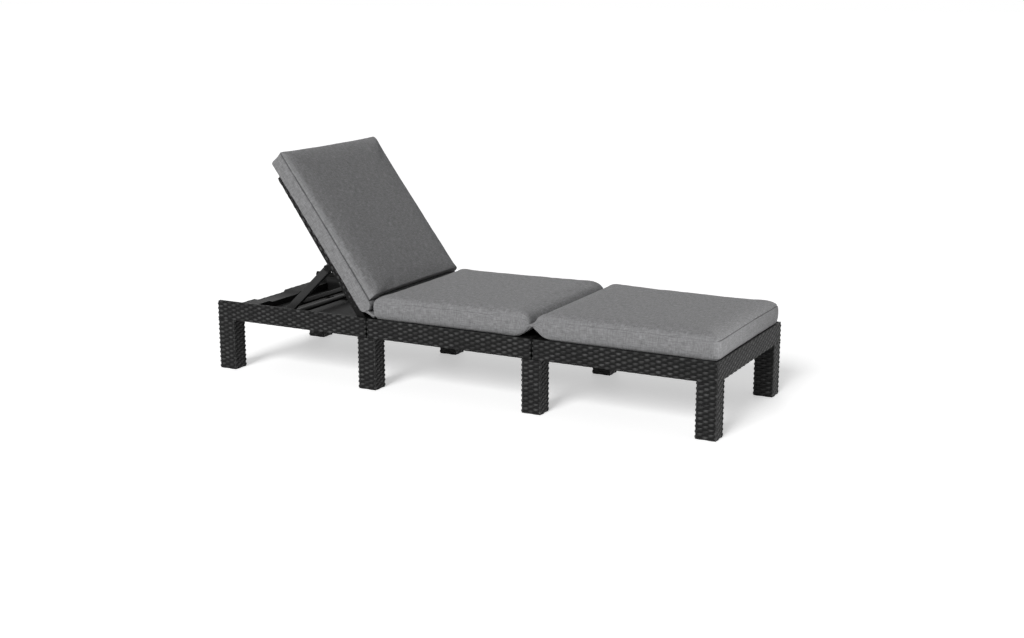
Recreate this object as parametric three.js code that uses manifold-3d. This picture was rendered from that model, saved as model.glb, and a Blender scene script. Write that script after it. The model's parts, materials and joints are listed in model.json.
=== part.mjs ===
// Sun lounger: three moulded frame modules on eight legs, a backrest that tilts on two hinge pins and
// is held up by a prop whose foot bar drops into ratchet racks, and a pad in three sections.
// Millimetres. +X runs from the head to the foot, +Y away from the near side, +Z up.
// The origin is on the floor under the middle of the frame.
import * as THREE from "three";
import { mergeVertices } from "three/addons/utils/BufferGeometryUtils.js";
import Module from "manifold-3d";

const wasm = await Module();
wasm.setup();

// Driving dimensions of the frame
const moduleLength = 650;
const frameWidth = 626;
const frameTop = 258;
const railDepth = 70;
const wall = 5;
const seamGap = 3;
const frameCornerRadius = 5;
const deckLip = 2;
const deckThickness = 4;
const ribThickness = 3;
const ribClearance = 12;
const lengthwiseRibSpacing = 155;
const crossRibSpacing = 128;
const headRailDrop = 38;
const headRailWidth = 70;
const handDipWidth = 200;
const handDipDepth = 7;
const handDipRamp = 18;
const floorThickness = 4;
const floorRibHeight = 6;
const ledgeWidth = 22;

// Driving dimensions of the legs and their screws
const legLength = 67;
const legWidth = 60;
const legWall = 4;
const legCornerRadius = 5;
const screwTowerRadius = 5;
const screwRadius = 2;
const screwHeadRadius = 5;
const screwHeadHeight = 3;
const screwLength = 22;
const screwAccessRadius = 8;

// Driving dimensions of the bolted seams
const boltRadius = 4;
const boltHeadRadius = 8;
const boltHeadHeight = 5;
const nutRadius = 8;
const nutHeight = 7;
const boltTail = 3;
const boltSpread = 80;
const boltHeight = 20;
const boltPocketClearance = 4;

// Driving dimensions of the backrest, in the panel's own directions: along it from the hinge, and across
// its thickness from the hinge line
const reclineDegrees = 54;
const hingeSetback = 20;
const hingeDrop = 12;
const hingePinRadius = 6;
const hingeBarrelRadius = 14;
const hingeLugWidth = 24;
const hingeSideGap = 1.5;
const hingeBossThickness = 6.5;
const panelHeadSetback = 34;
const panelSkin = 4;
const panelHeadThickness = 16;
const panelRibRecess = 4;
const panelRibSpacing = 97;
const barrelOpeningDegrees = 60;
const restGap = 0.5;

// Driving dimensions of the prop and its racks
const propHeadGap = 25;
const propPivotShare = 4 / 9;
const propArmDepth = 26;
const propFootDepth = 20;
const propArmWidth = 24;
const propFootHeight = 26;
const propBraceRise = 68;
const propBraceDepth = 16;
const propPinRadius = 4;
const propLugThickness = 8;
const propLugGap = 1.5;
const propLugRadius = 12;
const propLugSpread = 22;
const propLugSideGap = 2.5;
const rackWidth = 70;
const rackArmGap = 20;
const rackEndMargin = 22;
const notchDepth = 5;
const notchDegrees = [27, 36, 45, 54, 63];
const propFootClearance = 2;

// Driving dimensions of the pad
const padSideSetback = 8;
const padSide = 52;
const seatPadSide = 64;
const padCorner = 30;
const padPull = 5;
const padEdgeInset = 7;
const seatCrown = 10;
const backCrown = 15;
const backPadOverhang = 52;
const backPadStart = 12;
const backPadLean = 40;
const backPadLeanReach = 60;
const seatPadHeadSetback = 21;
const neckSetback = 5;
const neckWidth = 8;
const neckThickness = 8;
const neckLift = 40;
const neckDip = 12;
const neckReach = 60;
const footPadSetback = 5;

// Fits
const fitGap = 0.3;
const overrun = 2;
const roundSides = 24;
const smallSides = 12;

// Places that follow from the driving dimensions
const halfLength = 1.5 * moduleLength;
const halfWidth = frameWidth / 2;
const innerHalfWidth = halfWidth - wall;
const headSeam = -moduleLength / 2;
const footSeam = moduleLength / 2;
const railBottom = frameTop - railDepth;
const ribBottom = railBottom + ribClearance;
const deckTop = frameTop - deckLip;
const headRailTop = frameTop - headRailDrop;
const socketRoofTop = headRailTop;
const socketRoofBottom = socketRoofTop - wall;
const spigotTop = socketRoofBottom - fitGap;
const hingeX = headSeam - hingeSetback;
const hingeZ = frameTop - hingeDrop;
const panelLength = moduleLength - hingeSetback - panelHeadSetback;
const panelWidth = 2 * (innerHalfWidth - hingeBossThickness - hingeSideGap);
const panelHeadDrop = panelHeadThickness - hingeBarrelRadius;
const panelDropAt = (along) => hingeBarrelRadius + ((panelHeadDrop - hingeBarrelRadius) * along) / panelLength;
const ledgeTopAt = (x) => hingeZ - panelDropAt(hingeX - x) - restGap;
const ledgeInner = innerHalfWidth - ledgeWidth;
const floorTop = railBottom + floorThickness;
const propFootZ = railBottom + propFootHeight;
const propPivotBehind = hingeZ - propFootZ;
const propArmRadius = propArmDepth / 2;
const propFootRadius = propFootDepth / 2;
const propReach = moduleLength - hingeSetback - headRailWidth - propHeadGap - propArmRadius;
const propPivotAlong = propReach * propPivotShare;
const propLength = propReach - propPivotAlong;
const propBraceAlong = propLength - propBraceRise;
const propLugReach = propArmWidth / 2 + propLugGap + propLugThickness;
const propArmOffset = ledgeInner - propLugSideGap - propLugReach;
const rackOuter = propArmOffset - propArmWidth / 2 - rackArmGap;
const rackInner = rackOuter - rackWidth;
const padWidth = frameWidth - 2 * padSideSetback;
const boltZ = railBottom + boltHeight;
const recline = THREE.MathUtils.degToRad(reclineDegrees);
const sides = [["near", -1], ["far", 1]];

const resin = new THREE.MeshStandardMaterial({ color: 0x3a3a3b, roughness: 0.62, metalness: 0 });
const smoothResin = new THREE.MeshStandardMaterial({ color: 0x48484a, roughness: 0.5, metalness: 0 });
const panelResin = new THREE.MeshStandardMaterial({ color: 0x333334, roughness: 0.6, metalness: 0 });
const steel = new THREE.MeshStandardMaterial({ color: 0x8e9092, roughness: 0.35, metalness: 1 });
const fabric = new THREE.MeshStandardMaterial({ color: 0x6b6b6d, roughness: 0.95, metalness: 0 });

// A closed geometry as a solid that can be joined and cut
function asSolid(geometry) {
  const bare = geometry.clone();
  bare.deleteAttribute("normal");
  bare.deleteAttribute("uv");
  const merged = mergeVertices(bare);
  return new wasm.Manifold(new wasm.Mesh({
    numProp: 3,
    vertProperties: new Float32Array(merged.attributes.position.array),
    triVerts: new Uint32Array(merged.index.array),
  }));
}

// A solid as a geometry
function asGeometry(solid) {
  const cut = solid.getMesh();
  const geometry = new THREE.BufferGeometry();
  geometry.setAttribute("position", new THREE.BufferAttribute(new Float32Array(cut.vertProperties), 3));
  geometry.setIndex(new THREE.BufferAttribute(new Uint32Array(cut.triVerts), 1));
  geometry.computeVertexNormals();
  return geometry;
}

function joined(solids) {
  return solids.reduce((whole, piece) => whole.add(piece));
}

function cutBy(solid, cutters) {
  return cutters.reduce((rest, cutter) => rest.subtract(cutter), solid);
}

function named(name, shape, material) {
  const geometry = shape.isBufferGeometry ? shape : asGeometry(shape);
  const mesh = new THREE.Mesh(geometry, material);
  mesh.name = name;
  return mesh;
}

// A block between two heights, two lengths and two widths
function block(x0, x1, y0, y1, z0, z1) {
  const geometry = new THREE.BoxGeometry(x1 - x0, y1 - y0, z1 - z0);
  geometry.translate((x0 + x1) / 2, (y0 + y1) / 2, (z0 + z1) / 2);
  return asSolid(geometry);
}

// A block on one side of the lounger, between two distances from its middle line
function sideBlock(sign, x0, x1, inner, outer, z0, z1) {
  return block(x0, x1, Math.min(sign * inner, sign * outer), Math.max(sign * inner, sign * outer), z0, z1);
}

// An outline drawn in X and Y, raised between two heights
function raised(outline, z0, z1) {
  const geometry = new THREE.ExtrudeGeometry(
    outline, { depth: z1 - z0, bevelEnabled: false, curveSegments: 3 },
  );
  geometry.translate(0, 0, z0);
  return asSolid(geometry);
}

// An outline drawn in X and Z, drawn out between two widths
function drawnAcross(outline, y0, y1, curveSegments = smallSides) {
  const geometry = new THREE.ExtrudeGeometry(outline, { depth: y1 - y0, bevelEnabled: false, curveSegments });
  geometry.rotateX(Math.PI / 2);
  geometry.translate(0, y1, 0);
  return asSolid(geometry);
}

// An outline drawn in X and Z, drawn out between two distances from the middle on one side
function sideDrawn(sign, outline, inner, outer) {
  return drawnAcross(outline, Math.min(sign * inner, sign * outer), Math.max(sign * inner, sign * outer));
}

// An outline drawn in Y and Z, drawn out between two lengths
function drawnAlong(outline, x0, x1) {
  const geometry = new THREE.ExtrudeGeometry(outline, { depth: x1 - x0, bevelEnabled: false });
  const turn = new THREE.Matrix4().makeBasis(
    new THREE.Vector3(0, 1, 0),
    new THREE.Vector3(0, 0, 1),
    new THREE.Vector3(1, 0, 0),
  );
  geometry.applyMatrix4(turn);
  geometry.translate(x0, 0, 0);
  return asSolid(geometry);
}

// Round bars along each direction
function barAcross(radius, x, z, y0, y1, roundness = roundSides) {
  const geometry = new THREE.CylinderGeometry(radius, radius, y1 - y0, roundness);
  geometry.translate(x, (y0 + y1) / 2, z);
  return asSolid(geometry);
}

function barAlong(radius, y, z, x0, x1, roundness = smallSides) {
  const geometry = new THREE.CylinderGeometry(radius, radius, x1 - x0, roundness);
  geometry.rotateZ(-Math.PI / 2);
  geometry.translate((x0 + x1) / 2, y, z);
  return asSolid(geometry);
}

function barUp(radius, x, y, z0, z1, roundness = smallSides) {
  const geometry = new THREE.CylinderGeometry(radius, radius, z1 - z0, roundness);
  geometry.rotateX(Math.PI / 2);
  geometry.translate(x, y, (z0 + z1) / 2);
  return asSolid(geometry);
}

function sideBar(sign, radius, x, z, inner, outer) {
  return barAcross(radius, x, z, Math.min(sign * inner, sign * outer), Math.max(sign * inner, sign * outer));
}

function roundedRectangle(x0, x1, y0, y1, radius) {
  const outline = new THREE.Shape();
  outline.moveTo(x0 + radius, y0);
  outline.lineTo(x1 - radius, y0);
  outline.absarc(x1 - radius, y0 + radius, radius, -Math.PI / 2, 0, false);
  outline.absarc(x1 - radius, y1 - radius, radius, 0, Math.PI / 2, false);
  outline.absarc(x0 + radius, y1 - radius, radius, Math.PI / 2, Math.PI, false);
  outline.absarc(x0 + radius, y0 + radius, radius, Math.PI, 1.5 * Math.PI, false);
  return outline;
}

// Legs. Each has one spigot for every module that it carries: a leg under a seam carries two.
const spigotInset = wall + fitGap;
const seamInset = seamGap / 2 + spigotInset;
const legRows = [
  { row: "head", x0: -halfLength, spigots: [["head", spigotInset, legLength - spigotInset]] },
  {
    row: "head_seam",
    x0: headSeam - legLength / 2,
    spigots: [
      ["head", spigotInset, legLength / 2 - seamInset],
      ["seat", legLength / 2 + seamInset, legLength - spigotInset],
    ],
  },
  {
    row: "foot_seam",
    x0: footSeam - legLength / 2,
    spigots: [
      ["seat", spigotInset, legLength / 2 - seamInset],
      ["foot", legLength / 2 + seamInset, legLength - spigotInset],
    ],
  },
  { row: "foot", x0: halfLength - legLength, spigots: [["foot", spigotInset, legLength - spigotInset]] },
];
const spigotInner = halfWidth - legWidth + spigotInset;
const spigotOuter = halfWidth - spigotInset;
const spigotMiddle = (spigotInner + spigotOuter) / 2;

function spigotsOf(moduleName) {
  return legRows.flatMap(({ x0, spigots }) => spigots
    .filter(([carried]) => carried === moduleName)
    .map(([, from, to]) => ({ x0: x0 + from, x1: x0 + to })));
}

function leg(row, sign) {
  const x1 = row.x0 + legLength;
  const inner = halfWidth - legWidth;
  const low = Math.min(sign * inner, sign * halfWidth);
  const high = Math.max(sign * inner, sign * halfWidth);
  const bodyTop = railBottom - fitGap;
  const body = raised(roundedRectangle(row.x0, x1, low, high, legCornerRadius), 0, bodyTop);
  const hollow = sideBlock(
    sign, row.x0 + legWall, x1 - legWall, inner + legWall, halfWidth - legWall, legWall, bodyTop - legWall,
  );
  const parts = row.spigots.map(([, from, to]) => {
    const left = row.x0 + from;
    const right = row.x0 + to;
    const middle = (left + right) / 2;
    const y = sign * spigotMiddle;
    return {
      shell: sideBlock(sign, left, right, spigotInner, spigotOuter, bodyTop - legWall, spigotTop),
      mouth: sideBlock(
        sign, left + legWall, right - legWall, spigotInner + legWall, spigotOuter - legWall,
        bodyTop - legWall - overrun, spigotTop + overrun,
      ),
      tower: barUp(screwTowerRadius, middle, y, legWall - overrun, spigotTop, smallSides),
      pilot: barUp(screwRadius + fitGap, middle, y, spigotTop - screwLength, spigotTop + overrun, smallSides),
    };
  });
  const shell = joined([body, ...parts.map((part) => part.shell)]);
  const open = cutBy(shell, [hollow, ...parts.map((part) => part.mouth)]);
  return cutBy(joined([open, ...parts.map((part) => part.tower)]), parts.map((part) => part.pilot));
}

// Screws that go down through a socket's roof into the tower of a spigot
function legScrew(x, sign) {
  const y = sign * spigotMiddle;
  const head = barUp(
    screwHeadRadius, x, y, socketRoofTop + fitGap, socketRoofTop + fitGap + screwHeadHeight,
  );
  const shank = barUp(
    screwRadius, x, y, spigotTop - screwLength + fitGap, socketRoofTop + fitGap + overrun, smallSides,
  );
  return joined([head, shank]);
}

// The skirt of a module: a wall all round, open above and below
function skirt(x0, x1) {
  const outer = raised(
    roundedRectangle(x0, x1, -halfWidth, halfWidth, frameCornerRadius), railBottom, frameTop,
  );
  const inside = block(
    x0 + wall, x1 - wall, -innerHalfWidth, innerHalfWidth, railBottom - overrun, frameTop + overrun,
  );
  return outer.subtract(inside);
}

// Sockets that take the legs' spigots, and everything cut out of a module for them
function sockets(moduleName) {
  return spigotsOf(moduleName).flatMap(({ x0, x1 }) => sides.map(([, sign]) => sideBlock(
    sign, x0 - spigotInset, x1 + spigotInset, halfWidth - legWidth, innerHalfWidth + overrun,
    railBottom, socketRoofTop,
  )));
}

function socketHoles(moduleName) {
  return spigotsOf(moduleName).flatMap(({ x0, x1 }) => sides.flatMap(([, sign]) => {
    const middle = (x0 + x1) / 2;
    const y = sign * spigotMiddle;
    return [
      sideBlock(
        sign, x0 - fitGap, x1 + fitGap, spigotInner - fitGap, spigotOuter + fitGap,
        railBottom - overrun, socketRoofBottom,
      ),
      barUp(screwRadius + fitGap, middle, y, socketRoofBottom - overrun, socketRoofTop + overrun),
      barUp(screwAccessRadius, middle, y, socketRoofTop, frameTop + overrun),
    ];
  }));
}

// Holes for the seam bolts in a wall, and pockets beside it that keep ribs clear of their heads and nuts
function boltHoles(wallStarts) {
  const room = nutHeight + boltTail + boltPocketClearance;
  return wallStarts.flatMap(([x, inward]) => sides.flatMap(([, sign]) => {
    const y = sign * boltSpread;
    const face = inward > 0 ? x + wall : x;
    return [
      barAlong(boltRadius + fitGap, y, boltZ, x - overrun, x + wall + overrun),
      barAlong(
        boltHeadRadius + boltPocketClearance, y, boltZ,
        Math.min(face, face + inward * room), Math.max(face, face + inward * room),
      ),
    ];
  }));
}

// Evenly spread places between two ends, with none on the ends
function placesBetween(x0, x1, spacing) {
  const count = Math.max(1, Math.round((x1 - x0) / spacing) - 1);
  return Array.from({ length: count }, (_, i) => x0 + ((x1 - x0) * (i + 1)) / (count + 1));
}

// A module with a deck under the pad, ribbed underneath
function deckedModule(moduleName, x0, x1, boltedWalls) {
  const deck = block(
    x0 + wall / 2, x1 - wall / 2, -innerHalfWidth - wall / 2, innerHalfWidth + wall / 2,
    deckTop - deckThickness, deckTop,
  );
  const lengthwise = placesBetween(-halfWidth, halfWidth, lengthwiseRibSpacing).map((y) => block(
    x0 + wall / 2, x1 - wall / 2, y - ribThickness / 2, y + ribThickness / 2, ribBottom, deckTop - overrun,
  ));
  const crosswise = placesBetween(x0, x1, crossRibSpacing).map((x) => block(
    x - ribThickness / 2, x + ribThickness / 2, -innerHalfWidth - wall / 2, innerHalfWidth + wall / 2,
    ribBottom, deckTop - overrun,
  ));
  const whole = joined([skirt(x0, x1), deck, ...lengthwise, ...crosswise, ...sockets(moduleName)]);
  return cutBy(whole, [...socketHoles(moduleName), ...boltHoles(boltedWalls)]);
}

// The head module: a tray that the folded backrest and its prop lie in. Its head rail is lower than its
// side walls, and dips in the middle for a hand.
function headModule() {
  const x0 = -halfLength;
  const x1 = headSeam - seamGap / 2;
  const railInner = x0 + headRailWidth;
  const rail = new THREE.Shape();
  const dip = handDipWidth / 2;
  rail.moveTo(-innerHalfWidth, railBottom);
  rail.lineTo(innerHalfWidth, railBottom);
  rail.lineTo(innerHalfWidth, headRailTop);
  rail.lineTo(dip, headRailTop);
  rail.lineTo(dip - handDipRamp, headRailTop - handDipDepth);
  rail.lineTo(-dip + handDipRamp, headRailTop - handDipDepth);
  rail.lineTo(-dip, headRailTop);
  rail.lineTo(-innerHalfWidth, headRailTop);
  const headRail = drawnAlong(rail, x0, railInner).subtract(block(
    x0 + wall, railInner - wall, -halfWidth + legWidth, halfWidth - legWidth,
    railBottom - overrun, headRailTop - handDipDepth - wall,
  ));
  const floor = block(
    railInner - wall, x1 - wall / 2, -ledgeInner - wall, ledgeInner + wall, railBottom, floorTop,
  );
  const ledgeStart = railInner - wall;
  const ledgeEnd = x1 - wall / 2;
  const ledgeFace = (depthAtStart, depthAtEnd) => {
    const outline = new THREE.Shape();
    outline.moveTo(ledgeStart, ledgeTopAt(ledgeStart) - depthAtStart);
    outline.lineTo(ledgeEnd, ledgeTopAt(hingeX) - depthAtEnd);
    outline.lineTo(ledgeEnd, ledgeTopAt(hingeX));
    outline.lineTo(hingeX, ledgeTopAt(hingeX));
    outline.lineTo(ledgeStart, ledgeTopAt(ledgeStart));
    return outline;
  };
  const ledgeTops = sides.map(([, sign]) => sideDrawn(
    sign, ledgeFace(wall, wall), ledgeInner, innerHalfWidth + wall / 2,
  ));
  const ledgeWalls = sides.map(([, sign]) => sideDrawn(
    sign, ledgeFace(ledgeTopAt(ledgeStart) - railBottom, ledgeTopAt(hingeX) - railBottom),
    ledgeInner, ledgeInner + wall,
  ));
  const bosses = sides.map(([, sign]) => sideBlock(
    sign, hingeX - hingeBarrelRadius, x1 - wall / 2, panelWidth / 2 + hingeSideGap, innerHalfWidth + wall / 2,
    ledgeTopAt(hingeX) - wall / 2, deckTop,
  ));
  const ledgeRibs = placesBetween(railInner, x1, crossRibSpacing).flatMap((x) => sides.map(([, sign]) => sideBlock(
    sign, x - ribThickness / 2, x + ribThickness / 2, ledgeInner + wall / 2, innerHalfWidth + wall / 2,
    ribBottom, ledgeTopAt(x) - wall / 2,
  )));
  const railRibs = placesBetween(-halfWidth, halfWidth, lengthwiseRibSpacing).map((y) => block(
    x0 + wall / 2, railInner - wall / 2, y - ribThickness / 2, y + ribThickness / 2,
    ribBottom, headRailTop - handDipDepth - wall / 2,
  ));
  const openRibs = placesBetween(railInner, rackEnd, crossRibSpacing).map((x) => block(
    x - ribThickness / 2, x + ribThickness / 2, -rackInner + wall, rackInner - wall,
    floorTop - overrun, floorTop + floorRibHeight,
  ));
  const fullRibs = placesBetween(rackEnd, x1, crossRibSpacing).map((x) => block(
    x - ribThickness / 2, x + ribThickness / 2, -ledgeInner - wall / 2, ledgeInner + wall / 2,
    floorTop - overrun, floorTop + floorRibHeight,
  ));
  const inside = [
    block(
      x0 - overrun, x0 + wall + overrun, -innerHalfWidth, innerHalfWidth, headRailTop - handDipDepth,
      frameTop + overrun,
    ),
    block(
      x1 - wall - overrun, x1 + overrun, -panelWidth / 2 - hingeSideGap, panelWidth / 2 + hingeSideGap,
      headRailTop, frameTop + overrun,
    ),
  ];
  const walls = cutBy(skirt(x0, x1), inside);
  const whole = joined([
    walls, headRail, floor, ...ledgeTops, ...ledgeWalls, ...ledgeRibs, ...railRibs, ...bosses, ...openRibs,
    ...fullRibs, ...sockets("head"),
  ]);
  const pinHoles = sides.map(([, sign]) => sideBar(
    sign, hingePinRadius + fitGap, hingeX, hingeZ, panelWidth / 2, innerHalfWidth,
  ));
  return cutBy(whole, [...socketHoles("head"), ...boltHoles([[x1 - wall, -1]]), ...pinHoles]);
}

// Where the prop's foot bar stands when the backrest is raised by an angle
function propDrop(angle) {
  const pivotZ = propPivotAlong * Math.sin(angle) - propPivotBehind * Math.cos(angle);
  return Math.asin((pivotZ + propPivotBehind) / propLength);
}

function propFootX(angle) {
  const pivotX = -propPivotAlong * Math.cos(angle) - propPivotBehind * Math.sin(angle);
  return hingeX + pivotX - propLength * Math.cos(propDrop(angle));
}

const notchPlaces = notchDegrees.map((degrees) => propFootX(THREE.MathUtils.degToRad(degrees)));
const rackStart = notchPlaces[0] - rackEndMargin;
const rackEnd = notchPlaces[notchPlaces.length - 1] + rackEndMargin;

// A ratchet rack, with a round notch for each position of the backrest
function rack(sign) {
  const top = propFootZ - propFootRadius - propFootClearance;
  const bar = sideBlock(sign, rackStart, rackEnd, rackInner, rackOuter, floorTop + fitGap, top);
  const notchRadius = propFootRadius + fitGap;
  return cutBy(bar, notchPlaces.map((x) => sideBar(
    sign, notchRadius, x, top - notchDepth + notchRadius, rackInner - overrun, rackOuter + overrun,
  )));
}

function hingePin(sign) {
  return sideBar(
    sign, hingePinRadius, hingeX, hingeZ, panelWidth / 2 - hingeLugWidth + fitGap, innerHalfWidth - fitGap,
  );
}

function seamBolt(seam, sign) {
  const y = sign * boltSpread;
  const headFace = seam - seamGap / 2 - wall - fitGap;
  const tail = seam + seamGap / 2 + wall + fitGap + nutHeight + boltTail;
  return joined([
    barAlong(boltHeadRadius, y, boltZ, headFace - boltHeadHeight, headFace),
    barAlong(boltRadius, y, boltZ, headFace - overrun, tail),
  ]);
}

function seamNut(seam, sign) {
  const y = sign * boltSpread;
  const face = seam + seamGap / 2 + wall + fitGap;
  return barAlong(nutRadius, y, boltZ, face, face + nutHeight, smallSides / 2).subtract(
    barAlong(boltRadius + fitGap, y, boltZ, face - overrun, face + nutHeight + overrun),
  );
}

// The backrest panel, lying flat with its hinge line on the origin and its length along -X. Its skin
// curls round the hinge line, and ribs stiffen its back.
function backrestPanel() {
  const halfPanel = panelWidth / 2;
  const barrelEnd = -THREE.MathUtils.degToRad(barrelOpeningDegrees);
  const innerRadius = hingeBarrelRadius - panelSkin;
  const curl = new THREE.Shape();
  curl.moveTo(-panelLength, innerRadius);
  curl.lineTo(-panelLength, hingeBarrelRadius);
  curl.absarc(0, 0, hingeBarrelRadius, Math.PI / 2, barrelEnd, true);
  curl.absarc(0, 0, innerRadius, barrelEnd, Math.PI / 2, false);
  const skin = drawnAcross(curl, -halfPanel, halfPanel);
  const ribTop = innerRadius + panelSkin / 2;
  const edge = (start, top, recess) => {
    const outline = new THREE.Shape();
    outline.moveTo(start, recess - panelDropAt(-start));
    outline.lineTo(-panelLength, recess - panelHeadDrop);
    outline.lineTo(-panelLength, top);
    outline.lineTo(start, top);
    return outline;
  };
  const rims = [
    ...sides.map(([, sign]) => sideDrawn(
      sign, edge(0, hingeBarrelRadius, 0), halfPanel - panelSkin, halfPanel,
    )),
    block(-panelLength, panelSkin - panelLength, -halfPanel, halfPanel, -panelHeadDrop, hingeBarrelRadius),
  ];
  const lengthwise = placesBetween(-halfPanel, halfPanel, panelRibSpacing).map((y) => drawnAcross(
    edge(-hingeBarrelRadius, ribTop, panelRibRecess), y - ribThickness / 2, y + ribThickness / 2,
  ));
  const crosswise = placesBetween(-panelLength, 0, panelRibSpacing).map((x) => block(
    x - ribThickness / 2, x + ribThickness / 2, -halfPanel + panelSkin / 2, halfPanel - panelSkin / 2,
    panelRibRecess - panelDropAt(-x), ribTop,
  ));
  const hingeLugs = sides.map(([, sign]) => sideBar(
    sign, hingeBarrelRadius - fitGap, 0, 0, halfPanel - hingeLugWidth, halfPanel,
  ));
  const lug = new THREE.Shape();
  lug.moveTo(-propPivotAlong - propLugSpread, ribTop);
  lug.absarc(-propPivotAlong, -propPivotBehind, propLugRadius, Math.PI, 2 * Math.PI, false);
  lug.lineTo(-propPivotAlong + propLugSpread, ribTop);
  const lugInner = propArmWidth / 2 + propLugGap;
  const propLugs = sides.flatMap(([, sign]) => [-propLugReach, lugInner].map((offset) => {
    const start = sign * propArmOffset + offset;
    return drawnAcross(lug, start, start + propLugThickness, smallSides);
  }));
  const holes = sides.flatMap(([, sign]) => [
    sideBar(sign, hingePinRadius + fitGap, 0, 0, halfPanel - hingeLugWidth - overrun, halfPanel + overrun),
    sideBar(
      sign, propPinRadius + fitGap, -propPivotAlong, -propPivotBehind,
      propArmOffset - propLugReach - overrun, propArmOffset + propLugReach + overrun,
    ),
  ]);
  const whole = joined([skin, ...rims, ...lengthwise, ...crosswise, ...hingeLugs, ...propLugs]);
  return cutBy(whole, holes);
}

function propPin(sign) {
  return sideBar(
    sign, propPinRadius, -propPivotAlong, -propPivotBehind, propArmOffset - propLugReach,
    propArmOffset + propLugReach,
  );
}

// The prop, lying flat with its pivot line on the origin and its foot bar towards -X
function propArm(sign) {
  const outline = new THREE.Shape();
  outline.absarc(0, 0, propArmRadius, -Math.PI / 2, Math.PI / 2, false);
  outline.absarc(-propLength, 0, propArmRadius, Math.PI / 2, 1.5 * Math.PI, false);
  const start = sign * propArmOffset - propArmWidth / 2;
  const pinHole = barAcross(propPinRadius + fitGap, 0, 0, start - overrun, start + propArmWidth + overrun);
  return drawnAcross(outline, start, start + propArmWidth).subtract(pinHole);
}

const propInner = propArmOffset - propArmWidth / 2 - fitGap;

function propFootBar() {
  return barAcross(propFootRadius, -propLength, 0, -propInner, propInner);
}

function propBrace() {
  return block(
    -propBraceAlong - propBraceDepth / 2, -propBraceAlong + propBraceDepth / 2, -propInner, propInner,
    -propBraceDepth / 2, propBraceDepth / 2,
  );
}

// The outline of a pad section about its own middle
const outlineSteps = { corner: 4, along: 7, across: 7 };

function padOutline(halfLong, halfWide) {
  const points = [];
  const cornerX = halfLong - padCorner;
  const cornerY = halfWide - padCorner;
  const corners = [[1, 1], [-1, 1], [-1, -1], [1, -1]];
  corners.forEach(([signX, signY], quarter) => {
    for (let i = 0; i <= outlineSteps.corner; i += 1) {
      const angle = ((quarter + i / outlineSteps.corner) * Math.PI) / 2;
      points.push(new THREE.Vector2(
        signX * cornerX + padCorner * Math.cos(angle),
        signY * cornerY + padCorner * Math.sin(angle),
      ));
    }
    const start = points[points.length - 1];
    const [nextX, nextY] = corners[(quarter + 1) % corners.length];
    const end = quarter % 2 === 0
      ? new THREE.Vector2(nextX * cornerX, start.y)
      : new THREE.Vector2(start.x, nextY * cornerY);
    const count = quarter % 2 === 0 ? outlineSteps.along : outlineSteps.across;
    for (let i = 1; i < count; i += 1) {
      points.push(start.clone().lerp(end, i / count));
    }
  });
  return points;
}

// How far along from the middle to one end a place is, with its sides drawn in between the corners
function drawnIn(along, halfAlong, across, halfAcross, inset) {
  const reach = Math.min(1, Math.abs(along) / (halfAlong - padCorner));
  return along - Math.sign(along) * reach * (inset + padPull * (1 - (across / halfAcross) ** 2));
}

// Rings of a pad section, from the middle of its underside round its side to the middle of its top: the
// share of the outline's size, the share of the side's height, how far the ring is drawn in, and the
// share of the crown
const padRingShares = [
  [0.55, 0, 1, 0], [0.8, 0, 1, 0], [0.9, 0, 1, 0], [1, 0, 1, 0],
  [1, 0.14, 0.15, 0], [1, 0.5, -0.3, 0], [1, 0.86, -0.1, 0], [1, 1, 0.4, 0],
  [0.955, 1, 0.4, 0.2], [0.88, 1, 0.4, 0.44], [0.74, 1, 0.4, 0.72], [0.48, 1, 0.4, 0.94],
];

// A pad section between two lengths. leanEnd leans its high-X end back towards its top; neckHigh and
// neckLow thin the section towards a neck at that end.
function padSection({ x0, x1, bottom, side, crown, lean = 0, neckLow = false, neckHigh = false }) {
  const halfLong = (x1 - x0) / 2;
  const halfWide = padWidth / 2;
  const outline = padOutline(halfLong, halfWide);
  const middleX = (x0 + x1) / 2;
  const nearness = (x, reach) => Math.max(0, (x - halfLong + reach) / reach) ** 2;
  const neckShare = (x) => (neckHigh ? nearness(x, neckReach) : 0) + (neckLow ? nearness(-x, neckReach) : 0);
  const place = ([size, height, inset, dome], point) => {
    const full = new THREE.Vector2(point.x * size, point.y * size);
    const share = neckShare(full.x);
    const shrink = padEdgeInset * inset;
    const x = THREE.MathUtils.lerp(drawnIn(full.x, halfLong, full.y, halfWide, shrink), full.x, share);
    const y = drawnIn(full.y, halfWide, full.x, halfLong, shrink);
    const low = bottom + neckLift * share;
    const seam = bottom + side - neckDip * share;
    const leanBack = lean * height ** 2 * nearness(full.x, backPadLeanReach);
    return [middleX + x - leanBack, y, low + (seam - low) * height + crown * dome];
  };
  const rings = padRingShares.map((ring) => outline.map((point) => place(ring, point)));
  const around = outline.length;
  const positions = [
    [middleX, 0, bottom],
    ...rings.flat(),
    [middleX, 0, bottom + side + crown],
  ];
  const top = positions.length - 1;
  const at = (ring, i) => 1 + ring * around + (i % around);
  const faces = [];
  for (let i = 0; i < around; i += 1) {
    faces.push(0, at(0, i + 1), at(0, i));
    for (let ring = 0; ring < rings.length - 1; ring += 1) {
      faces.push(at(ring, i), at(ring, i + 1), at(ring + 1, i + 1));
      faces.push(at(ring, i), at(ring + 1, i + 1), at(ring + 1, i));
    }
    faces.push(at(rings.length - 1, i), at(rings.length - 1, i + 1), top);
  }
  const geometry = new THREE.BufferGeometry();
  geometry.setAttribute("position", new THREE.Float32BufferAttribute(positions.flat(), 3));
  geometry.setIndex(faces);
  geometry.computeVertexNormals();
  return geometry;
}

const neckX = footSeam - neckSetback;

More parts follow.
